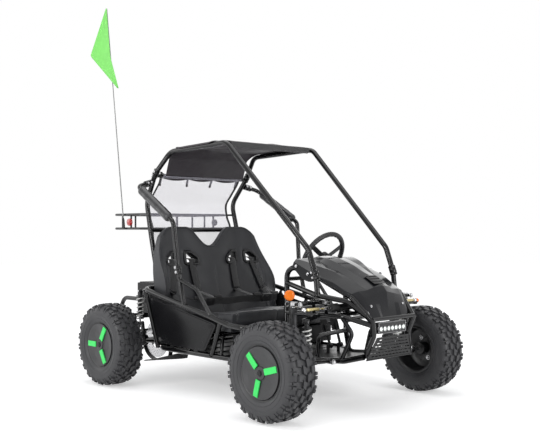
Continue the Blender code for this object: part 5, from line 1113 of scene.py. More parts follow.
across_u, up_v = np.meshgrid(eased(261 // fine) * 2 - 1, eased(130 // fine))
cushion_pair = closed_pair(cushion_skin(across_u, up_v) + REAR_AXLE,
    cushion_skin(across_u, up_v, True) + REAR_AXLE)
seat_cushion = piece("seat_cushion_cover", [cushion_pair], leatherette, slot="seat_vinyl",
    replaces=["seat_cushion"], angle=75)
pan_parts = [
    block((0.738, -0.322, 0.214), (0.7405, 0.322, 0.2965)),
    block((0.6, -0.322, 0.294), (0.7405, 0.322, 0.2965)),
    block((0.2, -0.3, 0.3), (0.392, 0.3, 0.3025)),
]
piece("seat_pan_skirt", pan_parts, satin_paint, bevel=0.0008)
cushion_welt = welt(cushion_skin, np.linspace(-WELT_EDGE, WELT_EDGE, 110),
    np.linspace(0.03, WELT_EDGE, 50), 220)
piece("cushion_welt", [cushion_welt], leatherette, slot="seat_vinyl", angle=80)

# Belts
# Black 40 mm webbing from behind the seat through the slots down to plastic buckles on the 36 mm lap webbing.

belt_parts = []
for side in (-1, 1):
    for offset in (-SLOT_OFFSET, SLOT_OFFSET):
        y0 = side * (SLOT_Y + offset)
        y1 = side * (0.128 if offset < 0 else 0.298)
        z = np.concatenate([[SLOT_Z - 0.002, SLOT_Z - 0.004], np.linspace(SLOT_Z - 0.017, 0.45, 12)])
        y = y0 + (y1 - y0) * (SLOT_Z - z) / (SLOT_Z - 0.45)
        x = on_seat(y, z) + 0.012 + 0.002 * np.sin(20 * z)
        x[0] -= 0.075
        x[1] -= 0.012
        line = np.stack([x, y, z], axis=1)
        line = np.concatenate([line, [(0.41, y1 * (1.0 if offset < 0 else 0.84), 0.42)]]) + REAR_AXLE
        belt_parts.append(band(smooth_rows(line, 60), 0.04, 0.0019, LEFT))
lap_y = np.linspace(-0.25, 0.25, 41)
lap = np.stack([0.4 + 0.03 * (np.abs(lap_y) / 0.25) ** 2.4, lap_y,
    0.413 + 0.002 * np.sin(30 * lap_y)], axis=1)
belt_parts.append(band(lap + REAR_AXLE, 0.036, 0.0022, (0.3, 0, 1)))
piece("belt_webbing", belt_parts, webbing, slot="belt_webbing", replaces=["seat_belts"], angle=60)
buckle_plastic = finish("buckle_plastic", (0.014, 0.014, 0.015), 0.35, mottle=40.0, bump=0.15)
BUCKLE_ENDS = ((-1, -1), (1, -1), (1.1, -0.3), (1.1, 0.3), (1, 1), (-1, 1), (-1.1, 0.3), (-1.1, -0.3))
BUCKLE_Z, BUCKLE_LEAN = 0.415, (0.25, 0, 1)
buckle_edge = [(a * 0.026 + 0.004 * math.copysign(1, a), b * 0.02) for a, b in BUCKLE_ENDS]
button_edge = [(a * 0.009, b * 0.009) for a, b in SQUARE]
buckles, tongues = [], []
for side in (-1, 1):
    y = side * LOBE_Y
    buckles.append(prism(buckle_edge, (0.4165, y, BUCKLE_Z), LEFT, BUCKLE_LEAN, 0.013))
    tongues.append(prism(button_edge, (0.4235, y, BUCKLE_Z), LEFT, BUCKLE_LEAN, 0.003))
    for near in (0.128, 0.252):
        tongues.append(block((0.402, side * near - 0.022, 0.428), (0.415, side * near + 0.022, 0.442)))
piece("belt_buckles", buckles, buckle_plastic, slot="belt_webbing", bevel=0.003, segments=3)
piece("belt_adjusters", tongues, buckle_plastic, slot="belt_webbing", bevel=0.0015)

# Bonnet
# Moulded gloss plastic shell with a step down each shoulder, a vent insert and rolled edges; held to the
# nose tubes by small hexagon-head screws.

HOOD_DROP = 0.0014
hood_plastic = finish("gloss_moulded_plastic", (0.0075, 0.0078, 0.0095), 0.12, shade=0.85, mottle=5.0,
    spread=0.03, grain=1000.0, bump=0.03, relief=0.0002,
    sockets={"Coat Weight": 0.05, "Specular IOR Level": 0.26})
hood_top = [
    [(0.998, 0.2085, 0.602), (1.0, 0.2, 0.622), (1.0, 0.186, 0.634), (1.0, 0.075, 0.637),
        (1.0, 0.055, 0.641), (1.0, 0, 0.643)],
    [(1.06, 0.208, 0.552), (1.055, 0.203, 0.6), (1.05, 0.17, 0.622), (1.052, 0.083, 0.6185),
        (1.056, 0.056, 0.634), (1.06, 0, 0.638)],
    [(1.11, 0.208, 0.54), (1.104, 0.202, 0.58), (1.1, 0.15, 0.603), (1.1, 0.08, 0.5995),
        (1.108, 0.056, 0.6205), (1.11, 0, 0.625)],
    [(1.152, 0.206, 0.552), (1.15, 0.196, 0.565), (1.15, 0.12, 0.585), (1.154, 0.08, 0.581),
        (1.158, 0.054, 0.601), (1.165, 0, 0.606)],
    [(1.205, 0.1935, 0.529), (1.207, 0.181, 0.5425), (1.207, 0.108, 0.554), (1.207, 0.08, 0.557),
        (1.206, 0.052, 0.577), (1.21, 0, 0.584)],
    [(1.255, 0.1845, 0.503), (1.257, 0.171, 0.5165), (1.259, 0.112, 0.528), (1.26, 0.082, 0.532),
        (1.262, 0.05, 0.553), (1.265, 0, 0.56)],
    [(1.294, 0.1785, 0.484), (1.3, 0.163, 0.4975), (1.306, 0.13, 0.505), (1.312, 0.086, 0.508),
        (1.32, 0.052, 0.519), (1.33, 0, 0.525)],
]
hood_nose = [
    [(1.322, 0.144, 0.463), (1.326, 0.137, 0.473), (1.33, 0.12, 0.481), (1.335, 0.08, 0.488),
        (1.34, 0.052, 0.493), (1.349, 0, 0.502)],
    [(1.353, 0.134, 0.427), (1.357, 0.126, 0.4255), (1.361, 0.11, 0.4235), (1.365, 0.07, 0.421),
        (1.359, 0.048, 0.419), (1.36, 0, 0.42)],
    [(1.37, 0.122, 0.392), (1.372, 0.116, 0.39), (1.374, 0.1, 0.3895), (1.377, 0.066, 0.389),
        (1.371, 0.046, 0.3885), (1.372, 0, 0.3885)],
]
hood_rows = np.concatenate([smooth_rows(hood_top, 19), smooth_rows(hood_nose, 5)])
hood_rows[..., 2] -= HOOD_DROP
hood_grid = np.concatenate([hood_rows, hood_rows[:, -2::-1] * (1, -1, 1)], axis=1) + REAR_AXLE
hood = piece("bonnet_shell", [sheet_mesh(hood_grid)], hood_plastic, slot="panel_plastic",
    replaces=["hood"], angle=24)
thickened(hood, 0.002)
rounded_edges(hood, 0.0042, 3, 9)


def hood_spot(row, share):
    """Point on the bonnet between its rows; share runs from the left edge to the middle."""
    low = int(min(row, len(hood_rows) - 1.001))
    line = hood_rows[low] + (hood_rows[low + 1] - hood_rows[low]) * (row - low)
    return np.array([np.interp(share * 5, np.arange(6), line[:, k]) for k in range(3)])


vent_parts = []
rows = np.array([hood_spot(r, 1.0) + (0, 0, 0.0015) for r in np.linspace(14.6, 17.4, 6)]) + REAR_AXLE
vent_parts.append(band(rows, 0.078, 0.0016, LEFT))
for r in (15.0, 15.8, 16.6):
    spot = hood_spot(r, 1.0) + (0, 0, 0.0034) + REAR_AXLE
    vent_parts.append(band(np.array([spot - (0, 0.032, 0), spot + (0, 0.032, 0)]), 0.006, 0.0016,
        (1, 0, -0.4)))
piece("bonnet_vents", vent_parts, satin_paint, slot="panel_plastic", bevel=0.0004)
screws = []
for x, y, z in ((1.02, 0.2055, 0.603), (1.09, 0.2065, 0.572), (1.15, 0.2025, 0.5615)):
    screws += bolt((x, y + 0.001, z), (0, 1, 0.15), 0.005, 0.004, 0.004)
for row in (20.2, 22.6):
    screws += bolt(hood_spot(row, 0.45) + (0.002, 0, 0.001), (0.9, 0.05, 0.35), 0.0042, 0.003, 0.003)
piece("bonnet_screws", both(screws), zinc_plate, slot="bare_steel", bevel=0.0003)

# Bumper plate
# 2.4 mm steel tread plate below the nose with rows of short punched slots, bolted to the nose tube.

nose_rise = unit((NOSE_HIGH[0] - NOSE_LOW[0], 0, NOSE_HIGH[2] - NOSE_LOW[2]))
nose_out = np.array((nose_rise[2], 0, -nose_rise[0]))
plate_at = np.array((NOSE_LOW[0], 0, NOSE_LOW[2])) + nose_out * (MAIN_R + 0.0018)
plate_edge = ((-0.15, -0.004), (0.15, -0.004), (0.106, 0.088), (-0.106, 0.088))
bumper = piece("bumper_tread", [prism(plate_edge, plate_at, LEFT, nose_rise, 0.0024)], satin_paint,
    replaces=["bumper_plate"])
SLOT_ENDS = ((-1, 0, -0.0024), (1, 0, -0.0024), (1, 0.0018, 0), (1, 0, 0.0024), (-1, 0, 0.0024),
    (-1, -0.0018, 0))
slots = []
for row in range(6):
    for k in range(-6, 7):
        y, up = (k + 0.5 * (row % 2)) * 0.0225, 0.009 + 0.0135 * row
        if abs(y) > 0.132 - 0.0075 * row:
            continue
        spot = plate_at + nose_rise * up + np.array((0, y, 0))
        slots.append(prism([(c * 0.0075 + d, e) for c, d, e in SLOT_ENDS], spot, LEFT, nose_rise, 0.02))
bore_through(bumper, slots)


def edging(corners, radius):
    """Thin round bar along each side of a closed outline."""
    return [rod(start, end, radius, 10) for start, end in zip(corners, corners[1:] + corners[:1])]


lip = [plate_at + nose_rise * z + np.array((0, y, 0)) + nose_out * 0.0018 for y, z in plate_edge]
piece("bumper_rolled_edge", edging(lip, 0.0022), gloss_paint)

# Side panels
# Moulded panels clipped to tabs between the upper and lower rails; a raised field stands inside a low rim.

PANEL = [np.array(p) for p in ((0.201, 0.39, 0.441), (0.214, 0.34, 0.212), (0.577, 0.3316, 0.2097),
    (0.7, 0.382, 0.34))]
PANEL_OUT = unit(np.cross(PANEL[3] - PANEL[0], PANEL[1] - PANEL[0]))
PANEL[2] = PANEL[2] - PANEL_OUT * float(PANEL_OUT @ (PANEL[2] - PANEL[0]))
panel_middle = sum(PANEL) / 4


def soft_ring(share, corner, depth):
    """Panel outline shrunk toward its middle, its corners rounded, lifted by depth."""
    points = [panel_middle + (p - panel_middle) * share for p in PANEL]
    return rounded(points, corner, 7) + PANEL_OUT * depth + REAR_AXLE


panel_shape = ((0.97, 0.02, 0.0), (0.985, 0.021, 0.0), (1.0, 0.022, 0.0012), (0.995, 0.022, 0.003),
    (0.95, 0.024, 0.0032), (0.935, 0.025, 0.0052), (0.8, 0.028, 0.0058), (0.6, 0.026, 0.0062),
    (0.3, 0.02, 0.0064), (0.02, 0.001, 0.0064))
panel_part = skin(np.array([soft_ring(*ring) for ring in panel_shape]))
panel_plastic = finish("gloss_panel_plastic", (0.0065, 0.0065, 0.0075), 0.24, shade=0.8, mottle=6.0,
    spread=0.05, grain=1100.0, bump=0.05, relief=0.0002, sockets={"Specular IOR Level": 0.2})
for hand in ("left", "right"):
    piece("side_panel_" + hand + "_skin", handed([panel_part], hand), panel_plastic, slot="panel_plastic",
        replaces=["side_panel_" + hand], angle=28)
clips = []
for x in (0.32, 0.5):
    for low, high in ((0, 3), (1, 2)):
        t = (x - PANEL[low][0]) / (PANEL[high][0] - PANEL[low][0])
        spot = PANEL[low] + (PANEL[high] - PANEL[low]) * t
        inward = unit(panel_middle, spot)
        rail_y, rail_z = LOWER_REAR[1:]
        if low == 0:
            fall = (x - RAIL_REAR[0]) / (RAIL_ARM[0] - RAIL_REAR[0])
            rail_y, rail_z = RAIL_REAR[1], RAIL_REAR[2] + (RAIL_ARM[2] - RAIL_REAR[2]) * fall
        line = [(x, rail_y, rail_z), spot - inward * 0.01 - PANEL_OUT * 0.0027,
            spot + inward * 0.026 - PANEL_OUT * 0.0021]
        clips.append(band(np.array(line) + REAR_AXLE, 0.024, 0.003, AHEAD))
piece("panel_clips", both(clips), satin_paint, bevel=0.0005)

# Lamp bar
# Shallow black housing on two pivots, with seven lenses that glow faintly, a bright ring round each of them
# and a bright rim round its face.

lamp_shell = finish("lamp_housing_plastic", (0.012, 0.012, 0.013), 0.3, mottle=30.0, bump=0.1)
chrome = finish("bright_trim", (0.34, 0.34, 0.35), 0.14, shade=0.85, mottle=50.0, spread=0.05, bump=0.02,
    sockets={"Metallic": 1.0})
lens_glow = finish("lamp_lens", (0.86, 0.9, 0.86), 0.08, shade=0.95, mottle=60.0, spread=0.03, grain=500.0,
    bump=0.2, relief=0.0006, sockets={"Emission Strength": 0.55, "Emission Color": (0.93, 1.0, 0.95, 1),
    "Coat Weight": 1.0})
piece("lamp_housing", [block((LAMP[0] - 0.01, -LAMP_HALF, LAMP[2] - 0.0235),
    (LAMP[0] + 0.0075, LAMP_HALF, LAMP[2] + 0.0235))], lamp_shell, "lamp", "lamp_housing",
    replaces=["light_bar"], bevel=0.0025, segments=3)
lamp_trim = edging([moved(LAMP, 0.0088, y * 0.0885, z * 0.022) for y, z in SQUARE], 0.0016)
lamp_lenses = []
for k in range(-3, 4):
    spot = (LAMP[0] + 0.0076, k * 0.0245, LAMP[2] - 0.004)
    lamp_trim.append(turned(spot, AHEAD, ((0, 0.0108), (0.0026, 0.0112), (0.0026, 0.0094),
        (0, 0.009)), 28, True))
    lamp_lenses.append(turned(spot, AHEAD, ((0, 0.008), (0.0014, 0.0078), (0.0034, 0.0056),
        (0.0042, 0.0004)), 28))
lamp_trim.append(rod(moved(LAMP, 0, -LAMP_HALF - 0.014), moved(LAMP, 0, LAMP_HALF + 0.014), 0.004))
piece("lamp_trim", lamp_trim, chrome, "lamp", "lamp_housing")
piece("lamp_lenses", lamp_lenses, lens_glow, "lamp", "lamp_housing", angle=60)
lamp_ring = moved(LAMP, 0, LAMP_HALF + 0.01)
carriers = [
    turned(moved(lamp_ring, 0, -0.003), LEFT,
        ((0, 0.0105), (0.006, 0.0105), (0.006, 0.0046), (0, 0.0046)), 28, True),
    rod(moved(lamp_ring, 0, 0.002, 0.0088), (1.378, 0.14, 0.362), 0.0032, 12),
]
piece("lamp_carriers", both(carriers), satin_paint, bevel=0.0004)

# Steering
# Moulded rubber grip on a three-spoke hub, a column with a coupling in a bearing, and a rack in a cast
# housing with ribbed rubber boots. Brass-coloured tie rods end in ball joints above the steering arms.

GRIP_RING_R, GRIP_R = 0.1215, 0.0115
BALL_Y, BALL_R = 0.245, 0.0105
column_up = np.array((-COLUMN[2], 0, COLUMN[0]))
left_way = np.array(LEFT)
rubber_grip = finish("grip_rubber", (0.011, 0.011, 0.012), 0.52, shade=0.8, mottle=30.0, spread=0.08,
    grain=1500.0, bump=0.3, relief=0.0004)
a, turn = round_angles(20), round_angles(144)
bumps = 0.0007 * np.cos(24 * turn)[:, None] * (np.cos(a)[None, :] < -0.2)
spokes = left_way * np.sin(turn)[:, None] - column_up * np.cos(turn)[:, None]
reach = GRIP_RING_R + (GRIP_R + bumps) * np.cos(a)[None, :]
rings = at(*WHEEL_HUB) + spokes[:, None] * reach[..., None] + COLUMN * (GRIP_R * np.sin(a))[None, :, None]
piece("steering_grip", [skin(rings, closed=True)], rubber_grip, "steering", "grip_rubber",
    replaces=["steering_wheel"], angle=70)
wheel_parts = [turned(WHEEL_HUB, COLUMN, ((-0.006, 0.012), (-0.005, 0.022), (-0.003, 0.027), (0.0, 0.0285),
    (0.012, 0.0285), (0.018, 0.027)), 36)]
for angle in (0.0, 2.0944, 4.1888):
    spoke = left_way * math.sin(angle) - column_up * math.cos(angle)
    t = np.linspace(0, 1, 14)[:, None]
    line = at(*WHEEL_HUB) + spoke * (GRIP_RING_R - 0.004) * t + COLUMN * (0.013 * (1 - t ** 1.6))
    wheel_parts.append(band(line, 0.023, 0.005, np.cross(spoke, COLUMN)))
piece("steering_spokes", wheel_parts, satin_paint, "steering", "grip_rubber", bevel=0.0008)
piece("steering_badge_blank", [turned(WHEEL_HUB, COLUMN,
    ((-0.0072, 0.0005), (-0.007, 0.011), (-0.0058, 0.013)), 32)], chrome, "steering", "grip_rubber")
shaft_reach = (RACK_X - WHEEL_HUB[0]) / COLUMN[0] - 0.036
shaft_parts = [
    turned(along_column(0.0186), COLUMN, ((0, 0.018), (0.001, 0.02), (0.006, 0.02), (0.008, SHAFT_R),
        (shaft_reach - 0.0186, SHAFT_R)), 36),
    turned(along_column(0.2), COLUMN,
        ((0, SHAFT_R), (0.002, 0.0115), (0.026, 0.0115), (0.028, SHAFT_R)), 12),
]
piece("steering_column", shaft_parts, zinc_plate, "steering", "bare_steel", replaces=["steering_shaft"],
    bevel=0.0003)

cast_metal = finish("dark_cast_alloy", (0.03, 0.03, 0.032), 0.48, shade=0.75, mottle=45.0, spread=0.1,
    grain=900.0, bump=0.35, relief=0.0005, sockets={"Metallic": 0.4})
half_profile = [(0.0, 0.0132), (0.08, 0.0132), (0.084, 0.0145), (0.116, 0.0145), (0.12, 0.0132),
    (0.16, 0.0135)]
boot_profile = [(0.165, 0.0135)]
for k in range(6):
    boot_profile += [(0.1675 + 0.0068 * k, 0.0178 - 0.0004 * k), (0.1709 + 0.0068 * k, 0.0135)]
boot_profile += [(0.2075, 0.0145), (0.2095, 0.0145)]
housing_parts = [turned((RACK_X, 0, TIE_HEIGHT), (0, side, 0), half_profile, 32) for side in (-1, 1)]
for foot in (-0.1, 0.1):
    housing_parts.append(block((RACK_X - 0.008, foot - 0.008, TIE_HEIGHT - 0.0131),
        (RACK_X + 0.008, foot + 0.008, TIE_HEIGHT - 0.009)))
housing_parts.append(turned(along_column(shaft_reach + 0.012), COLUMN,
    ((-0.021, 0.0157), (0.021, 0.0157), (0.021, 0.0098), (-0.021, 0.0098)), 32, True))
piece("rack_casting", housing_parts, cast_metal, slot="dark_casting", replaces=["rack_housing"],
    bevel=0.0006)
boot_profile = smooth_rows(boot_profile, 90)
rack_boots = [turned((RACK_X, 0, TIE_HEIGHT), (0, side, 0), boot_profile, 36) for side in (-1, 1)]
piece("rack_boots", rack_boots, boot, slot="grip_rubber", angle=70)
rack_parts = [rod((RACK_X, -BALL_Y + 0.012, TIE_HEIGHT), (RACK_X, BALL_Y - 0.012, TIE_HEIGHT), 0.007)]
for side in (-1, 1):
    y = side * BALL_Y
    rack_parts.append(block((RACK_X - 0.01, y - side * 0.01 - 0.004, TIE_HEIGHT - 0.006),
        (RACK_X + 0.01, y - side * 0.01 + 0.004, TIE_HEIGHT + 0.006)))
    near, far = sorted((y - side * 0.012, y + side * 0.005))
    for x in (-0.0085, 0.0085):
        rack_parts.append(block((RACK_X + x - 0.0015, near, TIE_HEIGHT - 0.005),
            (RACK_X + x + 0.0015, far, TIE_HEIGHT + 0.005)))
    rack_parts.append(rod((RACK_X - 0.0095, y, TIE_HEIGHT), (RACK_X + 0.0095, y, TIE_HEIGHT), 0.0022))
piece("rack_forks", rack_parts, zinc_plate, "rack", "bare_steel", replaces=["rack_bar"], bevel=0.0005)
gold = finish("pale_brass_plating", (0.6, 0.5, 0.25), 0.3, shade=0.85, mottle=40.0, spread=0.08, bump=0.05,
    sockets={"Metallic": 1.0})
for hand, side in (("left", 1), ("right", -1)):
    inner = np.array((RACK_X, side * BALL_Y, TIE_HEIGHT))
    outer = np.array((RACK_X, side * KING_Y, TIE_HEIGHT))
    span = outer - inner
    gold_parts = [turned(inner, span, ((0.0055, 0.0042), (0.028, 0.0042), (0.03, 0.0062), (0.034, 0.007),
        (0.096, 0.007), (0.1, 0.0062), (0.102, 0.0045), (0.113, 0.0045)), 24)]
    ball = [(BALL_R * math.sin(t), BALL_R * math.cos(t)) for t in np.linspace(-1.45, 1.45, 13)]
    end_parts = [
        turned(inner - np.array((0.0055, 0, 0)), AHEAD,
            ((0, 0.0062), (0.011, 0.0062), (0.011, 0.0029), (0, 0.0029)), 24, True),
        turned(inner + span * 0.245, span, ((0, 0.0075), (0.005, 0.0075)), 6),
        turned(outer, UP, ball, 24),
    ]
    piece("tie_rod_tube_" + hand, gold_parts, gold, "tie_rod_" + hand, "gold_anodised",
        replaces=["tie_rod_" + hand])
    piece("tie_rod_ends_" + hand, end_parts, zinc_plate, "tie_rod_" + hand, "bare_steel", bevel=0.0002)

# Pedals
# Flat steel arms with ribbed rubber pads, hinged on studs welded to the floor.

PEDAL = (0.955, 0.0, 0.228)
rise, front_way = unit((-0.32, 0, 1)), unit((1, 0, 0.32))
stud_parts = []
for name, y, width in (("brake", 0.15, 0.05), ("throttle", 0.08, 0.04)):
    pivot = (PEDAL[0], y, PEDAL[2])
    half = width / 2
    arm_parts = [
        turned(moved(pivot, 0, -0.009), LEFT,
            ((0, 0.011), (0.018, 0.011), (0.018, 0.0051), (0, 0.0051)), 24, True),
        prism(((-0.005, 0.008), (0.005, 0.008), (0.005, 0.1), (-0.005, 0.1)), pivot, LEFT, rise, 0.008),
        prism(((-half, 0.07), (half, 0.07), (half, 0.125), (-half, 0.125)),
            np.array(pivot) - front_way * 0.0045, LEFT, rise, 0.003),
    ]
    pads = []
    for k in range(5):
        low, high = 0.072 + 0.0105 * k, 0.078 + 0.0105 * k
        pads.append(prism(((-half, low), (half, low), (half, high), (-half, high)),
            np.array(pivot) - front_way * 0.0075, LEFT, rise, 0.0036))
    piece(name + "_pedal_arm", arm_parts, satin_paint, name, "bare_steel",
        replaces=[name + "_pedal"], bevel=0.0006)
    piece(name + "_pedal_pad", pads, boot, name, "grip_rubber", bevel=0.0008)
    stud_parts.append(block((PEDAL[0] - 0.008, y - 0.016, 0.192),
        (PEDAL[0] + 0.008, y - 0.011, PEDAL[2] + 0.008)))
    stud_parts.append(rod((PEDAL[0], y - 0.013, PEDAL[2]), (PEDAL[0], y + 0.012, PEDAL[2]), 0.0045))
piece("pedal_studs", stud_parts, satin_paint, bevel=0.0005)

# Front suspension
# Two welded tube arms a side, an upright post between their tips and a forged knuckle that turns on it.
# A marker lamp stands on a stalk that is clamped to each knuckle.

WHEELBASE, AXLE_Z = 1.163, 0.2
BUSH_R, KING_R, SLEEVE_R = 0.0115, 0.0075, 0.0145
FRONT_HALF, REAR_HALF = 0.491, 0.4775
HUB_DEEP, STUB_R = 0.045, 0.008
MARKERS = {"left": ((1.18, 0.402, 0.424), (1.187, 0.418, 0.43), (0.1, 0.2, 1.0), 0.014),
    "right": ((1.176, 0.4, 0.472), (1.176, 0.402, 0.496), (0.75, 0.66, 0.0), 0.0215)}
amber = finish("amber_lens", (0.7, 0.15, 0.004), 0.24, shade=0.85, mottle=20.0, grain=420.0, bump=0.45,
    relief=0.001, sockets={"Coat Weight": 0.1, "Specular IOR Level": 0.25,
    "Emission Color": (1.0, 0.24, 0.0, 1), "Emission Strength": 0.1})


def hollow(centre, axis, half, outer, inner, sides=32):
    """Sleeve round an axis, its outer edges broken."""
    return turned(centre, axis, ((-half, outer - 0.0006), (-half + 0.0006, outer), (half - 0.0006, outer),
        (half, outer - 0.0006), (half, inner), (-half, inner)), sides, True)


for hand in ("left", "right"):
    for level, z, back, ahead in (("lower_arm", LOWER_Z, ARM_BACK, ARM_FRONT),
            ("upper_arm", UPPER_Z, TOP_BACK, TOP_FRONT)):
        middle = (back + ahead) / 2
        half = (ahead - back) / 2 - 0.0055
        arm_parts = [hollow((middle, ARM_INNER_Y, z), AHEAD, half, BUSH_R - 0.001, PIN_R + GAP)]
        for end, tip in ((back + 0.014, WHEELBASE - 0.0262), (ahead - 0.014, WHEELBASE + 0.0262)):
            arm_parts.append(rod((end, ARM_INNER_Y + 0.0085, z), (tip, KING_Y, z), 0.0072))
        arm_parts.append(rod((WHEELBASE - 0.036, KING_Y, z), (WHEELBASE + 0.036, KING_Y, z), PIN_R))
        if level == "lower_arm":
            arm_parts.append(block((WHEELBASE - 0.042, SHOCK[1] - 0.02, z - 0.004),
                (WHEELBASE + 0.042, SHOCK[1] + 0.02, z + 0.004)))
            for ear in (SHOCK[0] - 0.0135, SHOCK[0] + 0.0105):
                arm_parts.append(block((ear, SHOCK[1] - 0.009, z),
                    (ear + 0.003, SHOCK[1] + 0.009, SHOCK_LOW_Z + 0.008)))
            arm_parts.append(rod((SHOCK[0] - 0.0125, SHOCK[1], SHOCK_LOW_Z),
                (SHOCK[0] + 0.0125, SHOCK[1], SHOCK_LOW_Z), 0.0035))
        piece(level + "_tubes_" + hand, handed(arm_parts, hand), gloss_paint, level + "_" + hand,
            "frame_paint", replaces=[level + "_" + hand], bevel=0.0006)
        nuts = []
        for x in (WHEELBASE - 0.036, WHEELBASE + 0.036):
            nuts += bolt((x, KING_Y, z), (math.copysign(1, x - WHEELBASE), 0, 0), 0.0085, 0.006, 0.006)
        piece(level + "_nuts_" + hand, handed(nuts, hand), zinc_plate, level + "_" + hand, "bare_steel",
            bevel=0.0004)
    post = [rod((WHEELBASE, KING_Y, LOWER_Z + 0.009), (WHEELBASE, KING_Y, UPPER_Z - 0.009), KING_R, 28)]
    for z in (LOWER_Z, UPPER_Z):
        post.append(hollow((WHEELBASE, KING_Y, z), AHEAD, 0.0145, BUSH_R, PIN_R + GAP))
    piece("upright_post_" + hand, handed(post, hand), zinc_plate, "upright_" + hand, "bare_steel",
        replaces=["upright_" + hand])
    sleeve_low, sleeve_high = LOWER_Z + BUSH_R + 0.0012, UPPER_Z - BUSH_R - 0.0012
    middle = (sleeve_low + sleeve_high) / 2
    forged = [hollow((WHEELBASE, KING_Y, middle), UP, (sleeve_high - sleeve_low) / 2, SLEEVE_R - 0.0008,
        KING_R + GAP, 36)]
    forged.append(block((WHEELBASE - 0.013, KING_Y + 0.028, 0.178),
        (WHEELBASE + 0.013, KING_Y + 0.038, 0.33)))
    forged.append(block((WHEELBASE - 0.01, KING_Y + 0.0115, 0.262),
        (WHEELBASE + 0.01, KING_Y + 0.03, 0.325)))
    arm_z = TIE_HEIGHT - BALL_R - GAP - 0.0035
    arm_edge = [(0.011, -0.01), (0.05, -0.008), (0.066, -0.007)]
    forged.append(prism(arm_edge + [(c, -d) for c, d in reversed(arm_edge)], (WHEELBASE, KING_Y, arm_z),
        AHEAD, LEFT, 0.007))
    piece("knuckle_forging_" + hand, handed(forged, hand), cast_metal, "knuckle_" + hand, "bare_steel",
        replaces=["knuckle_" + hand], bevel=0.0018, segments=3)
    stub_long = FRONT_HALF + HUB_DEEP - 0.001 - KING_Y - 0.03
    stub = [turned((WHEELBASE, KING_Y + 0.03, AXLE_Z), LEFT,
        ((0, 0.017), (0.03, 0.017), (0.034, STUB_R), (stub_long, STUB_R)), 32)]
    piece("stub_axle_" + hand, handed(stub, hand), zinc_plate, "knuckle_" + hand, "bare_steel")
    clamp_y = KING_Y + SLEEVE_R * math.cos(math.pi / 8) + GAP
    foot = np.array((WHEELBASE + 0.002, clamp_y + 0.004, 0.41))
    top, lens, face, lens_r = MARKERS[hand]
    top, lens, face = np.array(top), np.array(lens), unit(face)
    knee = top + (foot - top) * 0.6 + (0, 0.006, 0)
    stalk = [
        tube([foot, knee, top], 0.003, 0.01),
        rod(top - (lens - top) * 0.2, lens - face * 0.006, 0.0035),
        block((WHEELBASE - 0.006, clamp_y, 0.403), (WHEELBASE + 0.006, clamp_y + 0.007, 0.417)),
        turned(lens - face * 0.01, face, ((0, 0.6 * lens_r), (0.006, 0.92 * lens_r),
            (0.009, 0.97 * lens_r)), 36),
    ]
    piece("marker_stalk_" + hand, handed(stalk, hand), boot, "knuckle_" + hand, "grip_rubber",
        replaces=["side_marker_" + hand], bevel=0.0004)
    dome = [(0.0185 - 0.0105 + 0.0125 * math.sin(t), lens_r * math.cos(t) ** 0.45)
        for t in np.linspace(0.0, 1.5, 12)]
    piece("marker_lens_" + hand, handed([turned(lens - face * 0.01, face, [(0.007, lens_r)] + dome, 40)],
        hand), amber, "knuckle_" + hand, "amber_plastic", angle=60)

# Shock absorbers
# Dark alloy bodies with plated rods, spring seats top and bottom and white-painted coil springs.

COIL_POINTS, COIL_PITCH = 36, 0.0195
DOWN = (0, 0, -1)
spring_paint = finish("white_spring_paint", (0.78, 0.78, 0.76), 0.3, shade=0.9, mottle=30.0, spread=0.08,
    sockets={"Coat Weight": 0.4})


def winding(foot, head, radius, wire, curls):
    """Round wire wound evenly about the upright line from foot to head."""
    foot, head = np.array(foot, dtype=float), np.array(head, dtype=float)
    axis = unit(head, foot)
    across = unit(np.cross(axis, (1.0, 0.2, 0.0)))
    up = np.cross(axis, across)
    k = np.linspace(0, 1, int(curls * COIL_POINTS) + 1)
    a = math.tau * curls * k
    spokes = across * np.cos(a)[:, None] + up * np.sin(a)[:, None]
    line = foot + (head - foot) * k[:, None] + spokes * radius
    return skin(hoops(line, wire, 14, axis) + REAR_AXLE)


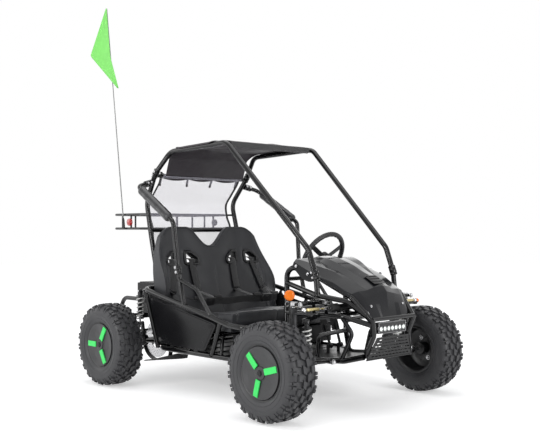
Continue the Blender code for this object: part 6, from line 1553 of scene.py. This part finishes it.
for prefix, top, low_z, axis, wire in (("front", SHOCK, SHOCK_LOW_Z, AHEAD, 0.0033),
        ("rear", REAR_SHOCK, REAR_SHOCK_LOW_Z, LEFT, 0.0031)):
    for hand, side in (("left", 1), ("right", -1)):
        high = np.array((top[0], top[1] * side, top[2]))
        length = high[2] - low_z
        low = high - (0, 0, length)
        body, piston = prefix + "_shock_" + hand, prefix + "_piston_" + hand
        end = length - 0.052
        damper = [
            hollow(high, axis, 0.0075, 0.011, PIN_R + GAP),
            turned(high, DOWN, ((end - 0.05, 0.0049), (end, 0.0049), (end, 0.0085),
                (end - 0.002, 0.0098), (0.011, 0.0098), (0.009, 0.008)), 32),
            turned(high, DOWN, ((0.022, 0.018), (0.0228, 0.0205), (0.0252, 0.0205),
                (0.026, 0.019)), 36),
        ]
        piece(prefix + "_damper_" + hand, damper, cast_metal, body, "dark_casting",
            replaces=[prefix + "_shock_body_" + hand])
        lift = length - 0.024
        rod_parts = [
            hollow(low, axis, 0.0075, 0.0095, 0.0048),
            turned(high, DOWN, ((end - 0.02, 0.0044), (length - 0.0075, 0.0044)), 28),
            turned(high, DOWN, ((lift - 0.004, 0.019), (lift - 0.0032, 0.0205),
                (lift - 0.0008, 0.0205), (lift, 0.018)), 36),
        ]
        piece(prefix + "_damper_rod_" + hand, rod_parts, zinc_plate, piston, "bare_steel",
            replaces=[prefix + "_shock_rod_" + hand])
        clear = GAP + wire
        foot, head = high - (0, 0, lift - 0.004 - clear), high - (0, 0, 0.026 + clear)
        curls = round((head[2] - foot[2]) / COIL_PITCH)
        spring = loose_piece(prefix + "_coil_" + hand, [winding(foot, head, 0.0165, wire, curls)],
            spring_paint, 80)
        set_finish(spring, "spring_white")
        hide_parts(prefix + "_spring_" + hand)
        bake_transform(spring)

# Wheels
# Knobbly off-road tyres on pressed black steel rims, each closed outside by a moulded cover with three green
# bars and a dark centre nut. The knobs stand in staggered rows, and paired ribs run down the shoulders.

TYRE_R, BEAD_R, FLANGE_R = 0.2, 0.1055, 0.1136
HUB_R, HUB_INNER = 0.029, 0.02
KNOB_COUNT = 22
tyre_rubber = finish("tyre_rubber", (0.031, 0.031, 0.034), 0.5, shade=0.82, mottle=14.0, spread=0.09,
    grain=650.0, bump=0.35, relief=0.0006)
rim_black = finish("rim_black_paint", (0.012, 0.012, 0.013), 0.36, shade=0.8, mottle=20.0, spread=0.1,
    grain=500.0, bump=0.08)
cover_black = finish("cover_black_plastic", (0.028, 0.028, 0.03), 0.42, shade=0.85, mottle=12.0,
    grain=900.0, bump=0.25)
bar_green = finish("green_insert", (0.035, 0.76, 0.13), 0.35, shade=0.9, mottle=18.0, spread=0.06,
    grain=900.0, bump=0.08)
half_section = [(0.0495, 0.1062), (0.0555, 0.1085), (0.061, 0.1125), (0.0655, 0.119), (0.0695, 0.129),
    (0.0718, 0.1415), (0.0725, 0.153), (0.0712, 0.164), (0.0675, 0.1745), (0.061, 0.1825), (0.051, 0.1872),
    (0.036, 0.1892), (0.018, 0.19)]
section = np.array([(-y, r) for y, r in half_section] + [(0.0, 0.19)] + half_section[::-1])
section = smooth_rows(section, 96)
crown = section[section[:, 1] > 0.16]


def on_carcass(along):
    """Radius of the tyre's carcass over the crown, and the slope of its section there."""
    radius, more, less = (np.interp(along + step, crown[:, 0], crown[:, 1])
        for step in (0.0, 0.002, -0.002))
    return radius, unit((-(more - less) / 0.004, 1.0))


def knobs(centre, along, radius, normal, wide, long, high, shift, skew=0.0):
    """Row of tapered blocks: each corner is set by its distance along the tread, round it and off it."""
    across = np.array((normal[1], -normal[0]))
    u = np.array((-1, -1, 1, 1, -1, -1, 1, 1)) * wide / 2
    s = np.array((-1, 1, 1, -1, -1, 1, 1, -1)) * long / 2
    h = np.array([-0.003] * 4 + [high] * 4)
    taper = np.where(h > 0, 0.86, 1.05)
    u, s = u * taper, s * taper
    spot = np.array((along, radius)) + across * u[:, None] + normal * h[:, None]
    turn = shift * (math.tau / KNOB_COUNT) + math.tau * np.arange(KNOB_COUNT)[:, None] / KNOB_COUNT
    turn = turn + (s + skew * u)[None, :] / TYRE_R
    corners = np.stack([spot[:, 1] * np.sin(turn), np.broadcast_to(spot[:, 0], turn.shape),
        -spot[:, 1] * np.cos(turn)], axis=2)
    quads = np.array(((0, 3, 2, 1), (4, 5, 6, 7), (0, 1, 5, 4), (1, 2, 6, 5), (2, 3, 7, 6), (3, 0, 4, 7)))
    faces = (np.arange(KNOB_COUNT)[:, None, None] * 8 + quads).reshape(-1, 4)
    return (corners + centre).reshape(-1, 3), faces.tolist()


def tyre_parts(x, y):
    """Carcass turned from its smoothed section, with its rows of blocks."""
    parts = [turned((x, y, AXLE_Z), LEFT, section, 96, True)]
    for ring_at, ring_r in ((0.0696, 0.128), (0.0723, 0.147)):
        ring = [(0.0009 * math.cos(t), ring_r + 0.0009 * math.sin(t)) for t in round_angles(8)]
        for side in (-1, 1):
            parts.append(turned((x, y + side * (ring_at + 0.0001), AXLE_Z), (0, -1, 0), ring, 96, True))
    centre = at(x, y, AXLE_Z)
    for along, long, high, shift, skew in ((0.0112, 0.034, 0.0095, 0.0, 0.55),
            (-0.0112, 0.034, 0.0095, 0.5, -0.55), (0.034, 0.03, 0.0092, 0.5, 0.3),
            (-0.034, 0.03, 0.0092, 0.0, -0.3)):
        parts.append(knobs(centre, along, *on_carcass(along), 0.0185, long, high, shift, skew))
    for side, shift in ((-1, 0.5), (1, 0.0)):
        shoulder = side * 0.0548
        shifts = [shift + half for half in (-0.155, 0.155)]
        parts += [knobs(centre, shoulder, *on_carcass(shoulder), 0.0165, 0.0138, 0.0085, turn)
            for turn in shifts]
        flank = np.array((side * 0.93, 0.37))
        parts += [knobs(centre, side * 0.0668, 0.1745, flank, 0.018, 0.011, 0.0026, turn)
            for turn in shifts]
    return parts


def cover_parts(x, y, phase):
    """Cover: rings about the axle whose depth swells and dips three times in a turn."""
    radii = np.array((0.1036, 0.1042, 0.1036, 0.101, 0.096, 0.085, 0.07, 0.055, 0.042, 0.032, 0.0275,
        0.0262, 0.0245, 0.02, 0.0145))
    depth = np.array((0.0575, 0.0612, 0.0628, 0.0632, 0.0624, 0.0606, 0.0592, 0.0585, 0.0584, 0.0588,
        0.0592, 0.0632, 0.0644, 0.0648, 0.0648))
    swell = np.clip((0.1 - radii) / 0.03, 0, 1) * np.clip((radii - 0.03) / 0.02, 0, 1) * 0.0024
    a = round_angles(96)
    lift = depth[:, None] + swell[:, None] * np.cos(3 * (a - phase))[None, :]
    rings = np.stack([radii[:, None] * np.cos(a), lift, radii[:, None] * np.sin(a)], axis=2)
    return skin(rings[:, ::-1] + at(x, y, AXLE_Z))


for end, x, half_track, phase in (("front", WHEELBASE, FRONT_HALF, math.radians(15)),
        ("rear", 0.0, REAR_HALF, math.radians(60))):
    rubber = tyre_parts(x, half_track)
    rim_section = [(0.045, STUB_R + GAP), (-HUB_INNER, STUB_R + GAP), (-HUB_INNER, HUB_R - 0.001),
        (-HUB_INNER + 0.001, HUB_R), (0.0262, HUB_R), (0.0272, 0.034), (0.0262, 0.062), (0.0225, 0.0885),
        (0.018, 0.0925), (-0.048, 0.0955), (-0.0575, 0.0985), (-0.06, 0.1025), (-0.06, FLANGE_R - 0.001),
        (-0.0592, FLANGE_R), (-0.058, FLANGE_R - 0.0008), (-0.053, 0.1068), (-0.05, BEAD_R), (0.05, BEAD_R),
        (0.0535, 0.1068), (0.0588, FLANGE_R - 0.0008), (0.0598, FLANGE_R), (0.0608, FLANGE_R - 0.001),
        (0.0595, 0.1062), (0.0572, 0.1046)]
    rim = [turned((x, half_track, AXLE_Z), LEFT, rim_section, 72)]
    valve = np.array((math.cos(0.8), 0, math.sin(0.8)))
    rim.append(rod(np.array((x, half_track - 0.03, AXLE_Z)) + valve * 0.094,
        np.array((x, half_track - 0.052, AXLE_Z)) + valve * 0.078, 0.003, 12))
    studs = []
    for k in range(4):
        spoke = np.array((math.cos(0.4 + k * math.pi / 2), 0, math.sin(0.4 + k * math.pi / 2)))
        studs += bolt(np.array((x, half_track + 0.0262, AXLE_Z)) + spoke * 0.05, (0, -1, 0),
            0.0085, 0.0, 0.008)
    bars = []
    for k in range(3):
        turn = phase + math.tau * k / 3
        ray = np.array((math.cos(turn), 0, math.sin(turn)))
        t = np.linspace(0, 1, 12)[:, None]
        line = at(x, half_track, AXLE_Z) + ray * (0.0285 + 0.0695 * t)
        line = line + np.array(LEFT) * (0.0642 + 0.0002 * t - 0.0016 * t ** 8)
        bars.append(band(line, 0.0265, 0.0062, np.cross(LEFT, ray)))
    nut = [turned((x, half_track, AXLE_Z), LEFT, ((0.064, 0.0128), (0.0676, 0.0128), (0.069, 0.0112)), 6)]
    for hand in ("left", "right"):
        body = "front_wheel_" + hand if end == "front" else "rear_wheels"
        label = end + "_" + hand
        piece(label + "_tread", handed(rubber, hand), tyre_rubber, body, "tyre_rubber",
            replaces=[label + "_tyre"], angle=35)
        piece(label + "_rim_pressing", handed(rim, hand), rim_black, body, "rim_black",
            replaces=[label + "_rim"], angle=50)
        piece(label + "_wheel_cover", handed([cover_parts(x, half_track, phase)], hand), cover_black, body,
            "rim_black", angle=30)
        piece(label + "_green_bars", handed(bars, hand), bar_green, body, "rim_black",
            bevel=0.0016, segments=3)
        piece(label + "_centre_nut", handed(nut, hand), satin_paint, body, "rim_black", bevel=0.0006)
        piece(label + "_rim_studs", handed(studs, hand), zinc_plate, body, "bare_steel", bevel=0.0004)

# Rear swing arm and axle
# Welded tube fork on a cross pivot that carries the live axle in two bearings, the motor plate, the brake
# caliper and the folded guard with its skid under the drilled disc.

AXLE_R, DISC_Y, DISC_R = 0.0125, -0.195, 0.095
MOTOR, MOTOR_R, MOUNT_X = (0.088, 0.02, 0.222), 0.048, 0.1395
fork = [hollow(SWING_PIVOT, LEFT, 0.262, 0.0165, 0.0096, 36),
    block((MOUNT_X, -0.045, 0.192), (0.152, 0.085, 0.25))]
for side in (-1, 1):
    bearing = np.array((0, side * 0.275, AXLE_Z))
    fork.append(tube([moved(SWING_PIVOT, -0.0155, side * 0.25), (0.1, side * 0.27, 0.205),
        bearing + (0.024, 0, 0)], 0.0122, 0.05))
    fork.append(hollow(bearing, LEFT, 0.012, 0.0268, AXLE_R + GAP, 40))
    fork.append(prism(((-0.012, 0.02), (0.024, 0.02), (0.011, 0.093), (0.006, 0.0965), (-0.006, 0.0965),
        (-0.011, 0.093)), (0, side * 0.2845, AXLE_Z), AHEAD, UP, 0.005))
    fork.append(rod((0, side * 0.2845, REAR_SHOCK_LOW_Z), (0, side * 0.3105, REAR_SHOCK_LOW_Z), 0.0038))
piece("swing_fork", fork, gloss_paint, "swing", "frame_paint", replaces=["swing_arm"], bevel=0.0006)
turn = np.radians(np.linspace(160, 272, 26))
guard_line = np.stack([0.108 * np.cos(turn), np.full(26, DISC_Y), AXLE_Z + 0.108 * np.sin(turn)], axis=1)
skid_line = smooth_rows(np.array([(0.108, DISC_Y, 0.106), (0.118, DISC_Y, 0.15),
    (0.124, DISC_Y, 0.204)]), 12)
guard = [
    band(guard_line + REAR_AXLE, 0.03, 0.0038, LEFT),
    band(skid_line + REAR_AXLE, 0.024, 0.0045, LEFT),
    prism(((-0.1, -0.125), (0.232, -0.078), (0.24, -0.056), (0.19, -0.056), (-0.02, -0.108),
        (-0.08, -0.116)), (0, DISC_Y, AXLE_Z), AHEAD, UP, 0.034),
]
guard_top = guard_line[0]
guard.append(rod(guard_top + (0, 0.01, 0), (guard_top[0], -0.266, guard_top[2]), 0.006))
guard.append(tube([(guard_top[0], -0.262, guard_top[2]), (-0.02, -0.275, AXLE_Z + 0.002)], 0.006))
piece("disc_guard", guard, satin_paint, "swing", "frame_paint", bevel=0.0006)
grip_at = np.array((0.075, DISC_Y, 0.262))
caliper = []
for y in (-0.0095, 0.0095):
    caliper.append(block(grip_at + (-0.022, y - 0.005, -0.026), grip_at + (0.022, y + 0.005, 0.014)))
    caliper += bolt(grip_at + (-0.012, y + math.copysign(0.005, y), 0.002), (0, math.copysign(1, y), 0),
        0.0045, 0.004, 0.003)
caliper.append(block(grip_at + (0.004, -0.0143, 0.004), grip_at + (0.0218, 0.0143, 0.0138)))
caliper.append(tube([grip_at + (0.012, -0.008, -0.01), (0.095, -0.262, 0.215)], 0.007))
piece("brake_caliper", caliper, cast_metal, "swing", "dark_casting", bevel=0.002, segments=3)

shoulder = REAR_HALF - HUB_INNER - GAP
tip = REAR_HALF + HUB_DEEP - 0.001
half_axle = [(shoulder - 0.02, AXLE_R), (shoulder - 0.0185, 0.0252), (shoulder - 0.0175, 0.026),
    (shoulder, 0.026), (shoulder, STUB_R), (tip, STUB_R)]
axle_parts = [
    turned((0, 0, AXLE_Z), LEFT, [(-y, r) for y, r in reversed(half_axle)] + half_axle, 40),
    turned((0, DISC_Y, AXLE_Z), LEFT,
        ((-0.012, 0.026), (-0.011, 0.028), (0.011, 0.028), (0.012, 0.026)), 40),
]
piece("live_axle", axle_parts, zinc_plate, "rear_wheels", "bare_steel", replaces=["rear_axle"],
    bevel=0.0003)
disc = piece("brake_disc", [turned((0, DISC_Y, AXLE_Z), LEFT,
    ((-0.002, 0.05), (-0.002, DISC_R), (0.002, DISC_R), (0.002, 0.05)), 96, True)], zinc_plate,
    "rear_wheels", "bare_steel")
drills = []
for ring_r, count, shift in ((0.088, 24, 0.0), (0.079, 24, 0.5), (0.07, 24, 0.0), (0.061, 24, 0.5)):
    for k in range(count):
        turn = math.tau * (k + shift) / count
        spot = np.array((ring_r * math.cos(turn), DISC_Y, AXLE_Z + ring_r * math.sin(turn)))
        drills.append(rod(spot - (0, 0.006, 0), spot + (0, 0.006, 0), 0.0031, 8))
bore_through(disc, drills)
arms = []
for k in range(5):
    turn = math.tau * k / 5
    arms.append(prism(((0.02, -0.007), (0.053, -0.0095), (0.053, 0.0095), (0.02, 0.007)),
        (0, DISC_Y, AXLE_Z), (math.cos(turn), 0, math.sin(turn)),
        (-math.sin(turn), 0, math.cos(turn)), 0.0036))
piece("disc_carrier", arms, satin_paint, "rear_wheels", "bare_steel", bevel=0.0005)

# Motor and battery box
# Finned motor bolted to the swing arm drives the axle through a cast chain case. A folded-steel battery box
# with a flanged lid stands on the rear cross tubes behind the seat.

motor_section = [(0, 0.032), (0.002, 0.04), (0.007, 0.0445), (0.018, 0.0455)]
for k in range(11):
    fin = 0.021 + 0.0082 * k
    motor_section += [(fin, 0.0435), (fin + 0.0012, MOTOR_R), (fin + 0.0042, MOTOR_R),
        (fin + 0.0054, 0.0435)]
motor_section += [(0.1115, 0.0455), (0.125, 0.0445), (0.129, 0.04), (0.131, 0.032)]
motor_parts = [
    turned(moved(MOTOR, 0, -0.062), LEFT, motor_section, 48),
    block((0.118, -0.04, 0.196), (MOUNT_X - GAP, 0.08, 0.248)),
    turned(moved(MOTOR, 0, -0.0655), LEFT, ((0, 0.013), (0.001, 0.015), (0.005, 0.015)), 32),
]
angles = np.radians(np.linspace(90, 270, 22))
case_outline = list(zip(0.034 * np.cos(angles), AXLE_Z + 0.034 * np.sin(angles)))
angles = np.radians(np.linspace(-80, 80, 18))
case_outline += list(zip(MOTOR[0] + 0.028 * np.cos(angles), MOTOR[2] + 0.028 * np.sin(angles)))
drive = piece("motor_and_case", motor_parts + [prism(case_outline, (0, 0.105, 0), AHEAD, UP, 0.04)],
    cast_metal, "swing", "dark_casting", replaces=["drive_unit"], bevel=0.0009)
bore_through(drive, [rod((0, 0.05, AXLE_Z), (0, 0.16, AXLE_Z), AXLE_R + 0.0012, 40)])
case_bolts = []
for share in (0.06, 0.3, 0.5, 0.7, 0.94):
    x, z = case_outline[int(share * (len(case_outline) - 1))]
    middle = np.array((0.044, 0.125, 0.211))
    spot = middle + (np.array((x, 0.125, z)) - middle) * 0.84
    case_bolts += bolt(spot, LEFT, 0.0035, 0.004, 0.003)
piece("case_bolts", case_bolts, zinc_plate, "swing", "bare_steel", bevel=0.0003)

BOX_REAR, BOX_FRONT, BOX_HALF, BOX_LOW, BOX_HIGH = -0.098, 0.12, 0.248, 0.335, 0.487
rail_top = 0.405 + BRACE_R
lid = BOX_HALF - 0.008
box_parts = [
    block((BOX_REAR, -BOX_HALF, BOX_LOW), (BOX_FRONT, BOX_HALF, BOX_HIGH)),
    block((BOX_REAR + 0.008, -BOX_HALF - 0.014, rail_top + 0.0002),
        (BOX_FRONT - 0.02, BOX_HALF + 0.014, rail_top + 0.005)),
    block((BOX_REAR + 0.008, -lid, BOX_HIGH - 0.002), (BOX_FRONT - 0.008, lid, BOX_HIGH + 0.005)),
    block((BOX_REAR - 0.002, -lid, BOX_LOW - 0.035), (BOX_REAR + 0.002, lid, BOX_LOW + 0.085)),
]
piece("battery_case", box_parts, satin_paint, replaces=["battery_box"], bevel=0.003, segments=3)
fittings = []
for y in (-0.15, 0.15):
    fittings.append(block((BOX_REAR + 0.02, y - 0.012, BOX_HIGH + 0.004),
        (BOX_FRONT - 0.03, y + 0.012, BOX_HIGH + 0.005)))
    for z in (BOX_LOW - 0.02, BOX_LOW + 0.07):
        fittings += bolt((BOX_REAR - 0.0018, y * 1.4, z), (-1, 0, 0), 0.0035, 0.002, 0.0)
piece("battery_fittings", fittings, zinc_plate, slot="bare_steel", bevel=0.0003)
